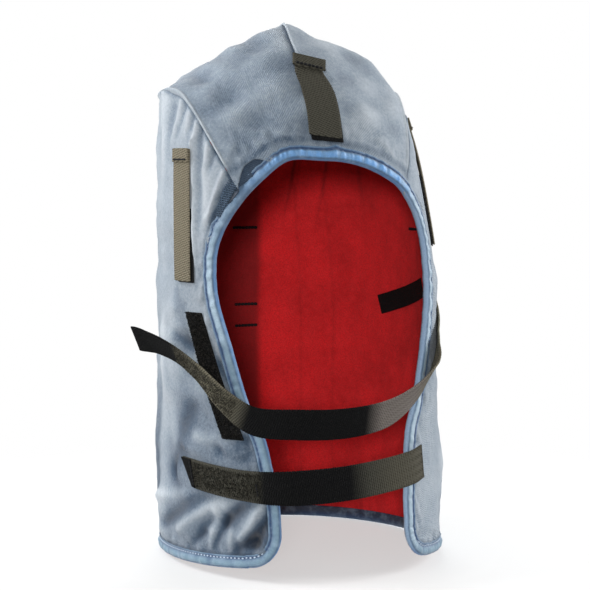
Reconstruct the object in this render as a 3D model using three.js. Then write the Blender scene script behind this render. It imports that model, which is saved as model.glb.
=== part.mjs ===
import * as THREE from 'three';

// A winter liner hood worn under a hard hat, in millimetres.
// The origin is the inside top of the crown, where the head sits. +Z is up and the face looks to -Y.

// Cloth thicknesses and the gaps between layers
const SHELL_THICKNESS = 1.2;
const LINING_THICKNESS = 2.0;
const LAYER_GAP = 0.4;
const SEAM_GAP = 0.5;
const WEBBING_THICKNESS = 1.3;
const PATCH_THICKNESS = 1.0;
const TAB_GAP = 0.8;
const INNER_PATCH_GAP = 1.2;
const BINDING_THICKNESS = 1.0;
const BINDING_GAP = 0.75;
const BINDING_LEG = 11;

// Depths of the layers below the outer surface of the shell
const LINING_OUTER = SHELL_THICKNESS + LAYER_GAP;
const LINING_INNER = LINING_OUTER + LINING_THICKNESS;

// Widths of the sewn-on tapes
const TAPE_WIDTH = 24;
const SIDE_TAB_WIDTH = 18;
const CHEEK_PATCH_WIDTH = 16;
const INNER_PATCH_WIDTH = 15;

// The crown ridge, two quarter ellipses that meet at the top
const CROWN_TOP = LINING_INNER;
const RIDGE_FRONT_REACH = 92;
const RIDGE_FRONT_DROP = 103;
const RIDGE_BACK_REACH = 118;
const RIDGE_TOP_ANGLE = 90;

// The crown halves stop short of the ridge by this share of a rib
const RIDGE_SHARE = 0.005;

// The upper part leans to the wearer's right, from nothing at LEAN_START to LEAN_AT_TOP
const LEAN_AT_TOP = 13;
const LEAN_START = -236;
const LEAN_POWER = 1.5;

// Layers are stacked outward from the vertical axis, and above this height from a point on it
const STACK_CENTRE_HEIGHT = -126;

// The lower front corners of the panels
const CORNER_RADIUS = 25;
const CORNER_TOP = -368;

// Angles are in degrees round the vertical axis: 0 is the front, 90 the side, 180 the back
const JUNCTION_ANGLE = 38.7;
const BACK_PANEL_ANGLE = 150;
const SIDE_ANGLE = 90;
const BACK_ANGLE = 180;

// Half sizes of the hood's plan at each height; it hangs a little fuller on one side
const SECTIONS = [
  { height: -46, left: 95, right: 87, front: 97, back: 108 },
  { height: -96, left: 100.5, right: 97, front: 102, back: 113 },
  { height: -135, left: 103.5, right: 103.5, front: 104, back: 115 },
  { height: -180, left: 106, right: 109, front: 107, back: 117 },
  { height: -237, left: 107, right: 110.5, front: 110, back: 118 },
  { height: -297, left: 107.5, right: 111, front: 113, back: 118 },
  { height: -348, left: 107, right: 111, front: 126, back: 119 },
  { height: -402, left: 104.5, right: 110.5, front: 130, back: 119 },
];

// The seam where the crown meets the drape, and how the crown slopes from the ridge down to it:
// 1 is a straight gable, 2 is round
const SEAM = [
  { angle: 38.7, height: -123, roundness: 2.1 },
  { angle: 46, height: -110, roundness: 2 },
  { angle: 53, height: -91, roundness: 1.85 },
  { angle: 64, height: -65, roundness: 1.75 },
  { angle: 77, height: -51.5, roundness: 1.55 },
  { angle: 90, height: -49, roundness: 1.3 },
  { angle: 108, height: -52, roundness: 1.08 },
  { angle: 180, height: -54, roundness: 1 },
];

// The edge of the face opening on the drape, from the crown seam down to the corner
const OPENING = [
  { height: -123, left: 38.7, right: 38.7 },
  { height: -138, left: 45.4, right: 45.4 },
  { height: -159, left: 49, right: 50.5 },
  { height: -181, left: 49.6, right: 51.5 },
  { height: -202, left: 48.8, right: 50.6 },
  { height: -237, left: 43, right: 44.5 },
  { height: -279, left: 35.3, right: 35.8 },
  { height: -301, left: 30, right: 30.5 },
  { height: -325, left: 27.4, right: 27.6 },
  { height: -348, left: 25.8, right: 25.8 },
  { height: -368, left: 25.8, right: 25.8 },
];

// The hem, from the end of the corner to the back
const HEM = [
  { angle: 37, height: -393 },
  { angle: 60, height: -397 },
  { angle: 110, height: -402 },
  { angle: 180, height: -402 },
];

// Soft dents of the cloth: where each lies, its radius and its depth
const DRAPE_DENTS = [
  { angle: -84, height: -295, radius: 30, depth: 3 },
  { angle: -55, height: -368, radius: 20, depth: 2.5 },
  { angle: -108, height: -190, radius: 45, depth: 3 },
  { angle: 84, height: -325, radius: 32, depth: 2.5 },
  { angle: 132, height: -320, radius: 45, depth: 3 },
  { angle: -140, height: -300, radius: 50, depth: 3.5 },
  { angle: 150, height: -130, radius: 36, depth: 2.5 },
];

// The share is that of the way from the ridge to the seam, negative on the -X side
const CROWN_DENTS = [
  { angle: 60, share: -0.55, radius: 22, depth: 2.5 },
  { angle: 63, share: 0.6, radius: 20, depth: 2.5 },
  { angle: 100, share: -0.5, radius: 30, depth: 2.5 },
  { angle: 112, share: 0.5, radius: 32, depth: 3 },
];

// Tapes and patches are listed by angle (negative on the -X side), height, lift off the panel and
// tilt of the tape about its own length
const MOUTH_STRAP = [
  { angle: 84, height: -204, lift: 1, tilt: 0 },
  { angle: 70, height: -221, lift: 1, tilt: 0 },
  { angle: 57, height: -238, lift: 2.3, tilt: -6 },
  { angle: 48, height: -250, lift: 5, tilt: -22 },
  { angle: 38.5, height: -262, lift: 10.8, tilt: -40 },
  { angle: 28.5, height: -275, lift: 10, tilt: -34 },
  { angle: 16, height: -284, lift: 9, tilt: -25 },
  { angle: 0, height: -289, lift: 9, tilt: -22 },
  { angle: -18, height: -289, lift: 11, tilt: -22 },
  { angle: -33, height: -286.5, lift: 13, tilt: -26 },
  { angle: -43, height: -273, lift: 14.5, tilt: -34 },
  { angle: -53, height: -256, lift: 16, tilt: -40 },
  { angle: -62.5, height: -244.5, lift: 19, tilt: -44 },
  { angle: -72.5, height: -237.5, lift: 24, tilt: -44 },
  { angle: -80, height: -234.5, lift: 29, tilt: -40 },
];

const CHIN_STRAP = [
  { angle: -67, height: -332, lift: 0.7, tilt: 0 },
  { angle: -54, height: -333, lift: 2, tilt: 0 },
  { angle: -40, height: -334.5, lift: 4, tilt: 0 },
  { angle: -27, height: -335, lift: 4.8, tilt: 0 },
  { angle: -10, height: -334, lift: 0, tilt: 0 },
  { angle: 8, height: -331, lift: 0, tilt: 0 },
  { angle: 27, height: -326, lift: 5, tilt: 0 },
  { angle: 37.5, height: -323, lift: 3.4, tilt: 0 },
];

const SIDE_TABS = [
  { name: 'side_tab_left', angle: -67.5, top: -94, bottom: -192 },
  { name: 'side_tab_right', angle: 70, top: -70, bottom: -166 },
];

// A side tab's backing patch is turned to the front, starts this share of the way down and ends lower
const PATCH_TURN = 2;
const PATCH_START = 0.35;
const PATCH_DROP = 1;

const REAR_TAB = { angle: 180, top: -150, bottom: -236, lift: LAYER_GAP };

const CHEEK_PATCH = [
  { angle: -62, height: -216, lift: 0.5, tilt: 0 },
  { angle: -53, height: -260, lift: 0.5, tilt: 0 },
  { angle: -43.4, height: -305, lift: 0.5, tilt: 0 },
];

const INNER_PATCH = [
  { angle: 86, height: -202 },
  { angle: 102, height: -211 },
  { angle: 119, height: -220 },
];

// The front tab runs down the ridge, placed by the angle of the ridge's ellipse
const FRONT_TAB = [
  { ridge: 46, lift: 1.8, shift: 0 },
  { ridge: 38, lift: 1.9, shift: -0.5 },
  { ridge: 29, lift: 2.2, shift: -1 },
  { ridge: 19, lift: 3, shift: -2 },
  { ridge: 8.5, lift: 5, shift: -3 },
];
const FRONT_PATCH = [
  { ridge: 30, lift: 0.6, shift: 2 },
  { ridge: 19, lift: 0.6, shift: 1.5 },
  { ridge: 7.5, lift: 0.6, shift: 1 },
];

// How finely each piece is divided; the binding shares the divisions of the cloth that it wraps
const CROWN_RIBS = 15;
const RIB_CROWDING = 1.25;
const CROWN_STEPS = 7;
const DRAPE_COLUMNS = CROWN_RIBS + CROWN_STEPS;
const DRAPE_ROWS = 14;
const CORNER_STEPS = 2;
const STRAP_STEPS = 34;
const TAB_STEPS = 8;
const TAB_STATIONS = 5;
const OUTLINE_STEP = 0.004;

const MATERIALS = {
  twill: { color: 0x93a5b6, roughness: 0.85 },
  binding: { color: 0x86b4de, roughness: 0.6 },
  fleece: { color: 0xa81a1e, roughness: 0.95 },
  webbing: { color: 0x3b3831, roughness: 0.8 },
  tan: { color: 0x83775f, roughness: 0.8 },
  hook: { color: 0x121315, roughness: 0.9 },
};

const radians = THREE.MathUtils.degToRad;

// Smooth curve through the rows of a table
function columnOf(table, key, value) {
  const x = table.map((row) => row[key]);
  const y = table.map((row) => row[value]);
  const rising = x[0] < x[x.length - 1];
  const slope = x.map((_, i) => {
    const a = Math.max(i - 1, 0);
    const b = Math.min(i + 1, x.length - 1);
    return (y[b] - y[a]) / (x[b] - x[a]);
  });
  return (at) => {
    let i = 0;
    while (i < x.length - 2 && (rising ? at > x[i + 1] : at < x[i + 1])) {
      i += 1;
    }
    const step = x[i + 1] - x[i];
    const t = (at - x[i]) / step;
    if (t < 0) {
      return y[i] + slope[i] * (at - x[i]);
    }
    if (t > 1) {
      return y[i + 1] + slope[i + 1] * (at - x[i + 1]);
    }
    const t2 = t * t;
    const t3 = t2 * t;
    return (2 * t3 - 3 * t2 + 1) * y[i] + (t3 - 2 * t2 + t) * step * slope[i]
      + (3 * t2 - 2 * t3) * y[i + 1] + (t3 - t2) * step * slope[i + 1];
  };
}

const byHand = (table) => ({
  left: columnOf(table, 'height', 'left'),
  right: columnOf(table, 'height', 'right'),
});
const sideAt = byHand(SECTIONS);
const frontAt = columnOf(SECTIONS, 'height', 'front');
const backAt = columnOf(SECTIONS, 'height', 'back');
const seamHeight = columnOf(SEAM, 'angle', 'height');
const crownRoundness = columnOf(SEAM, 'angle', 'roundness');
const openingAngle = byHand(OPENING);
const hemHeight = columnOf(HEM, 'angle', 'height');

const handOf = (sign) => (sign < 0 ? 'left' : 'right');

// Lean of the upper part, and the outward direction in which layers are stacked
function leaned(point) {
  const share = Math.max(0, (point.z - LEAN_START) / (CROWN_TOP - LEAN_START));
  return new THREE.Vector3(point.x - LEAN_AT_TOP * share ** LEAN_POWER, point.y, point.z);
}

function outward(point) {
  const rise = Math.max(0, point.z - STACK_CENTRE_HEIGHT);
  return new THREE.Vector3(point.x, point.y, rise).normalize();
}

function stacked(point, lift) {
  return leaned(point.clone().addScaledVector(outward(point), lift));
}

// The drape's plan is four quarter ellipses
function drapePlain(angle, height) {
  const a = radians(angle);
  const reach = Math.abs(angle) < SIDE_ANGLE ? frontAt(height) : backAt(height);
  return new THREE.Vector3(sideAt[handOf(angle)](height) * Math.sin(a), -reach * Math.cos(a), height);
}

// Cloth sinks into its dents; tapes and patches lie flat across them
function clothPoint(point, lift) {
  const sunk = dents.reduce((sum, { centre, radius, depth }) => (
    sum + depth * Math.exp(-centre.distanceToSquared(point) / radius ** 2)
  ), 0);
  return stacked(point, lift - sunk);
}

function drapePoint(angle, height, lift) {
  return clothPoint(drapePlain(angle, height), lift);
}

// The crown: ribs from the ridge to the seam
const backSeamReach = backAt(seamHeight(BACK_ANGLE));
const ridgeBackEnd = Math.asin(backSeamReach / RIDGE_BACK_REACH);
const ridgeBackDrop = (CROWN_TOP - seamHeight(BACK_ANGLE)) / (1 - Math.cos(ridgeBackEnd));

// Ribs stand closer together at the brow
function ribAngle(share) {
  return THREE.MathUtils.lerp(JUNCTION_ANGLE, BACK_PANEL_ANGLE, share ** RIB_CROWDING);
}

function ridgeFront(degrees) {
  const a = radians(degrees);
  const fall = RIDGE_FRONT_DROP * (1 - Math.sin(a));
  return new THREE.Vector3(0, -RIDGE_FRONT_REACH * Math.cos(a), CROWN_TOP - fall);
}

function ridgePoint(angle) {
  if (angle < SIDE_ANGLE) {
    return ridgeFront(RIDGE_TOP_ANGLE * (angle - JUNCTION_ANGLE) / (SIDE_ANGLE - JUNCTION_ANGLE));
  }
  const b = ridgeBackEnd * (angle - SIDE_ANGLE) / (BACK_PANEL_ANGLE - SIDE_ANGLE);
  const fall = ridgeBackDrop * (1 - Math.cos(b));
  return new THREE.Vector3(0, RIDGE_BACK_REACH * Math.sin(b), CROWN_TOP - fall);
}

function crownRib(angle, w, sign) {
  const top = ridgePoint(angle);
  const foot = drapePlain(sign * angle, seamHeight(angle));
  return new THREE.Vector3(
    foot.x * w,
    top.y + (foot.y - top.y) * w * w,
    top.z + (foot.z - top.z) * w ** crownRoundness(angle),
  );
}

// Near the back the ribs bend so that the last one lies along the back seam
function crownPlain(angle, w, sign) {
  const backAngle = BACK_ANGLE - (BACK_ANGLE - BACK_PANEL_ANGLE) * w;
  const seam = drapePlain(sign * backAngle, seamHeight(backAngle));
  const shift = seam.sub(crownRib(BACK_PANEL_ANGLE, w, sign));
  const share = ((angle - JUNCTION_ANGLE) / (BACK_PANEL_ANGLE - JUNCTION_ANGLE)) ** 3;
  return crownRib(angle, w, sign).addScaledVector(shift, share);
}

// w runs from -1 at the left seam through 0 at the ridge to 1 at the right seam
function crownSpot(angle, w) {
  return crownPlain(angle, Math.abs(w), w < 0 ? -1 : 1);
}

function crownPoint(angle, w, lift) {
  return clothPoint(crownSpot(angle, w), lift);
}

const dents = [
  ...DRAPE_DENTS.map((row) => ({ ...row, centre: drapePlain(row.angle, row.height) })),
  ...CROWN_DENTS.map((row) => ({ ...row, centre: crownSpot(row.angle, row.share) })),
];

// The drape's outlines in angle and height, from the crown junction to the middle of the back
function millimetresToAngle(length, angle, height, sign) {
  const a = radians(angle);
  const arc = Math.hypot(sideAt[handOf(sign)](height) * Math.cos(a), frontAt(height) * Math.sin(a));
  return THREE.MathUtils.radToDeg(length / arc);
}

function cornerAt(turn, sign) {
  const start = openingAngle[handOf(sign)](CORNER_TOP);
  const run = CORNER_RADIUS * (1 - Math.cos(turn));
  const angle = start + millimetresToAngle(run, start, CORNER_TOP, sign);
  return { angle, height: CORNER_TOP - CORNER_RADIUS * Math.sin(turn) };
}

// The front edge takes the first half of the corner, and the hem the second half
function frontOutline(t, sign) {
  const straight = 1 - CORNER_STEPS / DRAPE_ROWS;
  if (t < straight) {
    const height = THREE.MathUtils.lerp(OPENING[0].height - SEAM_GAP, CORNER_TOP, t / straight);
    return { angle: openingAngle[handOf(sign)](height), height };
  }
  return cornerAt((Math.PI / 4) * (t - straight) / (1 - straight), sign);
}

function hemOutline(t, sign) {
  const bend = CORNER_STEPS / DRAPE_COLUMNS;
  if (t < bend) {
    return cornerAt((Math.PI / 4) * (1 + t / bend), sign);
  }
  const start = cornerAt(Math.PI / 2, sign).angle;
  const angle = THREE.MathUtils.lerp(start, BACK_ANGLE, (t - bend) / (1 - bend));
  return { angle, height: hemHeight(angle) };
}

// The columns of the drape meet the crown's ribs, then the steps of its last rib
function seamOutline(t) {
  const column = t * DRAPE_COLUMNS;
  const angle = column < CROWN_RIBS
    ? ribAngle(column / CROWN_RIBS)
    : THREE.MathUtils.lerp(BACK_PANEL_ANGLE, BACK_ANGLE, (column - CROWN_RIBS) / CROWN_STEPS);
  return { angle, height: seamHeight(angle) - SEAM_GAP };
}

// A smooth spread of the four outlines over the panel, u from the opening to the back, v from seam to hem
function drapeSpot(u, v, sign) {
  const top = seamOutline(u);
  const bottom = hemOutline(u, sign);
  const front = frontOutline(v, sign);
  const corners = [seamOutline(0), seamOutline(1), hemOutline(0, sign), hemOutline(1, sign)];
  const back = {
    angle: BACK_ANGLE,
    height: THREE.MathUtils.lerp(corners[1].height, corners[3].height, v),
  };
  const blend = (key) => (1 - v) * top[key] + v * bottom[key] + (1 - u) * front[key] + u * back[key]
    - (1 - u) * (1 - v) * corners[0][key] - u * (1 - v) * corners[1][key]
    - (1 - u) * v * corners[2][key] - u * v * corners[3][key];
  return { angle: blend('angle'), height: blend('height') };
}

// A closed wall between two depths of a grid of points
function wall(columns, rows, pointAt, outer, inner) {
  const positions = [];
  const index = [];
  const across = columns + 1;
  const layer = across * (rows + 1);
  [outer, inner].forEach((depth) => {
    for (let j = 0; j <= rows; j += 1) {
      for (let i = 0; i <= columns; i += 1) {
        positions.push(...pointAt(i / columns, j / rows, depth).toArray());
      }
    }
  });
  const quad = (a, b, c, d) => index.push(a, b, c, a, c, d);
  for (let j = 0; j < rows; j += 1) {
    for (let i = 0; i < columns; i += 1) {
      const a = j * across + i;
      quad(a, a + 1, a + across + 1, a + across);
      quad(layer + a, layer + a + across, layer + a + across + 1, layer + a + 1);
    }
  }
  for (let i = 0; i < columns; i += 1) {
    const last = rows * across + i;
    quad(i, layer + i, layer + i + 1, i + 1);
    quad(last, last + 1, layer + last + 1, layer + last);
  }
  for (let j = 0; j < rows; j += 1) {
    const left = j * across;
    const right = left + columns;
    quad(left, left + across, layer + left + across, layer + left);
    quad(right, layer + right, layer + right + across, right + across);
  }
  return closed(positions, index);
}

// A closed band swept round a loop of stations, each a ring of points
function loop(stations) {
  const size = stations[0].length;
  const positions = stations.flatMap((ring) => ring.flatMap((point) => point.toArray()));
  const index = [];
  stations.forEach((_, i) => {
    const next = (i + 1) % stations.length;
    for (let k = 0; k < size; k += 1) {
      const a = i * size + k;
      const b = i * size + ((k + 1) % size);
      const c = next * size + ((k + 1) % size);
      const d = next * size + k;
      index.push(a, b, c, a, c, d);
    }
  });
  return closed(positions, index);
}

// Geometry with its faces turned outward
function closed(positions, index) {
  const at = (i) => new THREE.Vector3().fromArray(positions, 3 * i);
  let volume = 0;
  for (let i = 0; i < index.length; i += 3) {
    volume += at(index[i]).dot(at(index[i + 1]).cross(at(index[i + 2])));
  }
  if (volume < 0) {
    index.reverse();
  }
  const geometry = new THREE.BufferGeometry();
  geometry.setAttribute('position', new THREE.Float32BufferAttribute(positions, 3));
  geometry.setIndex(index);
  geometry.computeVertexNormals();
  return geometry;
}

// A flat tape along a curve of centres, each with its outward direction and tilt
function tape(centres, directions, tilts, width, thickness, steps) {
  const curve = new THREE.CatmullRomCurve3(centres, false, 'centripetal');
  const rows = centres.length - 1;
  const frames = [];
  for (let j = 0; j <= steps; j += 1) {
    const t = j / steps;
    const k = Math.min(Math.floor(t * rows), rows - 1);
    const local = t * rows - k;
    const along = curve.getTangent(t);
    const out = directions[k].clone().lerp(directions[k + 1], local);
    const tilt = radians(THREE.MathUtils.lerp(tilts[k], tilts[k + 1], local));
    const side = along.clone().cross(out).normalize().applyAxisAngle(along, tilt);
    frames.push({ centre: curve.getPoint(t), side, out: side.clone().cross(along).normalize() });
  }
  const pointAt = (u, v, depth) => {
    const { centre, side, out } = frames[Math.round(v * steps)];
    return centre.clone().addScaledVector(side, (u - 0.5) * width).addScaledVector(out, depth);
  };
  return wall(1, steps, pointAt, thickness, 0);
}

function panelTape(rows, width, thickness, steps) {
  const centres = rows.map((row) => stacked(drapePlain(row.angle, row.height), row.lift));
  const directions = rows.map((row) => outward(drapePlain(row.angle, row.height)));
  const tilts = rows.map((row) => row.tilt);
  return tape(centres, directions, tilts, width, thickness, steps);
}

// A level-sided strip down the panel at one angle
function uprightTape({ angle, top, bottom, lift }, width, thickness) {
  const rows = [];
  for (let k = 0; k < TAB_STATIONS; k += 1) {
    const height = THREE.MathUtils.lerp(top, bottom, k / (TAB_STATIONS - 1));
    rows.push({ angle, height, lift, tilt: 0 });
  }
  return panelTape(rows, width, thickness, TAB_STEPS);
}

function mesh(name, geometry, finish) {
  const piece = new THREE.Mesh(geometry, new THREE.MeshStandardMaterial({ ...finish, metalness: 0 }));
  piece.name = name;
  return piece;
}

// Crown halves and the lining under them
function crownHalf(sign) {
  const pointAt = (u, v, depth) => {
    const w = THREE.MathUtils.lerp(RIDGE_SHARE, 1, sign < 0 ? 1 - u : u);
    return crownPoint(ribAngle(v), sign * w, depth);
  };
  return wall(CROWN_STEPS, CROWN_RIBS, pointAt, 0, -SHELL_THICKNESS);
}

function crownLining() {
  const pointAt = (u, v, depth) => crownPoint(ribAngle(v), 2 * u - 1, depth);
  return wall(2 * CROWN_STEPS, CROWN_RIBS, pointAt, -LINING_OUTER, -LINING_INNER);
}

function drapeLayer(outer, inner) {
  const pointAt = (u, v, depth) => {
    const side = 2 * u - 1;
    const sign = side < 0 ? -1 : 1;
    const spot = drapeSpot(1 - Math.abs(side), v, sign);
    return drapePoint(sign * spot.angle, spot.height, depth);
  };
  return wall(2 * DRAPE_COLUMNS, DRAPE_ROWS, pointAt, outer, inner);
}

// The binding is a U round the edge: distance in from the edge and height above the shell's surface
function bindingProfile() {
  const over = BINDING_GAP;
  const top = over + BINDING_THICKNESS;
  const under = -LINING_INNER - BINDING_GAP;
  const base = under - BINDING_THICKNESS;
  const nose = -BINDING_GAP - BINDING_THICKNESS;
  return [
    { inset: BINDING_LEG, lift: over },
    { inset: BINDING_LEG, lift: top },
    { inset: nose / 2, lift: top },
    { inset: nose, lift: (top + base) / 2 },
    { inset: nose / 2, lift: base },
    { inset: BINDING_LEG, lift: base },
    { inset: BINDING_LEG, lift: under },
    { inset: -BINDING_GAP, lift: under },
    { inset: -BINDING_GAP, lift: over },
  ];
}

// One ring of the binding on the drape, square to the outline in the cloth
function drapeRing(outline, t, sign) {
  const here = outline(t, sign);
  const before = outline(Math.max(0, t - OUTLINE_STEP), sign);
  const after = outline(Math.min(1, t + OUTLINE_STEP), sign);
  const degree = 1 / millimetresToAngle(1, here.angle, here.height, sign);
  const run = (after.angle - before.angle) * degree;
  const rise = after.height - before.height;
  const length = Math.hypot(run, rise);
  return bindingProfile().map(({ inset, lift }) => {
    const angle = here.angle - (inset * rise) / length / degree;
    const height = here.height + (inset * run) / length;
    return drapePoint(sign * angle, height, lift);
  });
}

// One ring of the binding on the brow, following the ribs of the crown
function browRing(w) {
  const start = crownPoint(JUNCTION_ANGLE, w, 0);
  const rate = crownPoint(JUNCTION_ANGLE + 1, w, 0).distanceTo(start);
  return bindingProfile().map(({ inset, lift }) => crownPoint(JUNCTION_ANGLE + inset / rate, w, lift));
}

function edgeBinding() {
  const rings = [];
  for (let i = 1 - CROWN_STEPS; i < CROWN_STEPS; i += 1) {
    rings.push(browRing(i / CROWN_STEPS));
  }
  for (let i = 0; i < DRAPE_ROWS; i += 1) {
    rings.push(drapeRing(frontOutline, i / DRAPE_ROWS, 1));
  }
  for (let i = 0; i < DRAPE_COLUMNS; i += 1) {
    rings.push(drapeRing(hemOutline, i / DRAPE_COLUMNS, 1));
  }
  for (let i = DRAPE_COLUMNS; i > 0; i -= 1) {
    rings.push(drapeRing(hemOutline, i / DRAPE_COLUMNS, -1));
  }
  for (let i = DRAPE_ROWS; i >= 0; i -= 1) {
    rings.push(drapeRing(frontOutline, i / DRAPE_ROWS, -1));
  }
  return loop(rings);
}

// The brow tab hangs down the ridge, its lower end lifted; its patch lies on the crown
function ridgeTape(rows, thickness) {
  const centres = rows.map(({ ridge, lift, shift }) => {
    const centre = stacked(ridgeFront(ridge), lift);
    return centre.setX(centre.x + shift);
  });
  const directions = rows.map(({ ridge }) => outward(ridgeFront(ridge)));
  return tape(centres, directions, rows.map(() => 0), TAPE_WIDTH, thickness, TAB_STEPS);
}

// The inner patch lies on the lining, facing the axis
function innerPatch() {
  const depth = -LINING_INNER - INNER_PATCH_GAP - PATCH_THICKNESS;
  const rows = INNER_PATCH.map((row) => ({ ...row, lift: depth, tilt: 0 }));
  return panelTape(rows, INNER_PATCH_WIDTH, PATCH_THICKNESS, TAB_STEPS);
}

const strapTape = (rows) => panelTape(rows, TAPE_WIDTH, WEBBING_THICKNESS, STRAP_STEPS);

const hood = new THREE.Group();
hood.add(mesh('crown_left', crownHalf(-1), MATERIALS.twill));
hood.add(mesh('crown_right', crownHalf(1), MATERIALS.twill));
hood.add(mesh('drape', drapeLayer(0, -SHELL_THICKNESS), MATERIALS.twill));
hood.add(mesh('lining_crown', crownLining(), MATERIALS.fleece));
hood.add(mesh('lining_drape', drapeLayer(-LINING_OUTER, -LINING_INNER), MATERIALS.fleece));
hood.add(mesh('edge_binding', edgeBinding(), MATERIALS.binding));
hood.add(mesh('front_tab', ridgeTape(FRONT_TAB, WEBBING_THICKNESS), MATERIALS.webbing));
hood.add(mesh('front_tab_patch', ridgeTape(FRONT_PATCH, PATCH_THICKNESS), MATERIALS.hook));
hood.add(mesh('rear_tab', uprightTape(REAR_TAB, TAPE_WIDTH, WEBBING_THICKNESS), MATERIALS.webbing));
hood.add(mesh('inner_patch', innerPatch(), MATERIALS.hook));
hood.add(mesh('mouth_strap', strapTape(MOUTH_STRAP), MATERIALS.webbing));
hood.add(mesh('chin_strap', strapTape(CHIN_STRAP), MATERIALS.webbing));

const cheekPatch = panelTape(CHEEK_PATCH, CHEEK_PATCH_WIDTH, PATCH_THICKNESS, TAB_STEPS);
hood.add(mesh('cheek_patch', cheekPatch, MATERIALS.hook));

SIDE_TABS.forEach(({ name, angle, top, bottom }) => {
  const patch = {
    angle: angle - PATCH_TURN * Math.sign(angle),
    top: THREE.MathUtils.lerp(top, bottom, PATCH_START),
    bottom: bottom - PATCH_DROP,
    lift: LAYER_GAP,
  };
  const strip = { angle, top, bottom, lift: LAYER_GAP + PATCH_THICKNESS + TAB_GAP };
  hood.add(mesh(name, uprightTape(strip, SIDE_TAB_WIDTH, WEBBING_THICKNESS), MATERIALS.tan));
  hood.add(mesh(`${name}_patch`, uprightTape(patch, SIDE_TAB_WIDTH, PATCH_THICKNESS), MATERIALS.hook));
});

export default hood;
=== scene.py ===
import math

import bpy
import numpy as np
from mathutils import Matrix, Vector


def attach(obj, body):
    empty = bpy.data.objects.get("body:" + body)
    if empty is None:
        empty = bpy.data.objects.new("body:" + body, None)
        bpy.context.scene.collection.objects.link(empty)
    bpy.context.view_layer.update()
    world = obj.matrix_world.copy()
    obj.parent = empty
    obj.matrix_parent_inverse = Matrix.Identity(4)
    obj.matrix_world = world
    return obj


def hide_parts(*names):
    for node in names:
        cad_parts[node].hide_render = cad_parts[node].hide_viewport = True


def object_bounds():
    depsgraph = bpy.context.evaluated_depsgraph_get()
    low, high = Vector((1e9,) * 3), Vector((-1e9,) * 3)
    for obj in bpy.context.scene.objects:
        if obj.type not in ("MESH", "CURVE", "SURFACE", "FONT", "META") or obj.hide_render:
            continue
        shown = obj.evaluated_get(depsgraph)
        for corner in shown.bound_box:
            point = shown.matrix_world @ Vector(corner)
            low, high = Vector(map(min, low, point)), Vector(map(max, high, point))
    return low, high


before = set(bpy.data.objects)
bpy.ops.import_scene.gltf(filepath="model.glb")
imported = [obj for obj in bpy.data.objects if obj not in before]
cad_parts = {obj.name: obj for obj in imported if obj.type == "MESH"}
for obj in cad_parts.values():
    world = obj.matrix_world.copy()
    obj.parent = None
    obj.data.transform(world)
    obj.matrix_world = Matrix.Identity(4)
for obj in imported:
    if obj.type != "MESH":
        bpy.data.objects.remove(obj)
cad_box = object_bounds()

# Lengths are in millimetres until a mesh is made. Angles are in degrees round the vertical axis:
# 0 is the front, 90 the side, 180 the back, and negative on the -X side
MM = 0.001

# The camera of the photograph, and the frame it fills
VIEW_AZIMUTH = -18.0
VIEW_ELEVATION = 4.5
VIEW_DISTANCE = 1350.0
VIEW_TARGET = (0.0, 0.0, -206.0)
FRAME_PIXELS = 590
MILLIMETRES_PER_PIXEL = 0.78
SENSOR = 36.0

# Cloth thicknesses and gaps, as in the solids
SHELL_THICKNESS = 1.2
LINING_OUTER = 1.6
LINING_INNER = 3.6
SEAM_GAP = 0.5
WEBBING_THICKNESS = 1.3
PATCH_THICKNESS = 1.0
TAPE_WIDTH = 24.0
SIDE_TAB_WIDTH = 18.0
CHEEK_PATCH_WIDTH = 16.0
INNER_PATCH_WIDTH = 15.0

# The crown ridge, the lean of the upper part and the point from which layers are stacked
CROWN_TOP = 3.6
RIDGE_FRONT_REACH = 92.0
RIDGE_FRONT_DROP = 103.0
RIDGE_BACK_REACH = 118.0
LEAN_AT_TOP = 13.0
LEAN_START = -236.0
LEAN_POWER = 1.5
STACK_CENTRE_HEIGHT = -126.0

# The lower corners, and how the outlines share them
CORNER_RADIUS = 25.0
CORNER_TOP = -368.0
FRONT_CORNER_SHARE = 2 / 14
HEM_CORNER_SHARE = 2 / 22
SEAM_RIB_SHARE = 15 / 22
RIB_CROWDING = 1.25
JUNCTION_ANGLE = 38.7
BACK_PANEL_ANGLE = 150.0

# Length of one degree along the drape
DEGREE_LENGTH = 1.9


def table(columns, rows):
    return dict(zip(columns.split(), np.array(rows, float).T))


# The hood's shape, as in the solids: the drape's reach to each side by height, and the lines of its edges
SECTIONS = table("height left right front back", [
    (-46, 95, 87, 97, 108),
    (-96, 100.5, 97, 102, 113),
    (-135, 103.5, 103.5, 104, 115),
    (-180, 106, 109, 107, 117),
    (-237, 107, 110.5, 110, 118),
    (-297, 107.5, 111, 113, 118),
    (-348, 107, 111, 126, 119),
    (-402, 104.5, 110.5, 130, 119),
])
SEAM = table("angle height roundness", [
    (38.7, -121, 2.1),
    (46, -101.5, 2),
    (53, -83.5, 1.85),
    (61, -66, 1.77),
    (70, -52.8, 1.66),
    (80, -48.5, 1.5),
    (90, -49.5, 1.3),
    (108, -52, 1.08),
    (180, -54, 1),
])
OPENING = table("height left right", [
    (-123, 38.7, 38.7),
    (-138, 46.2, 47),
    (-159, 51, 51.6),
    (-181, 52.2, 51.5),
    (-202, 51.2, 50.4),
    (-237, 45.2, 44.6),
    (-279, 37.6, 37.2),
    (-301, 31.8, 31.6),
    (-325, 29.3, 28.8),
    (-348, 27.7, 27.1),
    (-368, 27.5, 27.1),
])
HEM = table("angle height", [
    (37, -393),
    (60, -397),
    (110, -402),
    (180, -402),
])
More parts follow.
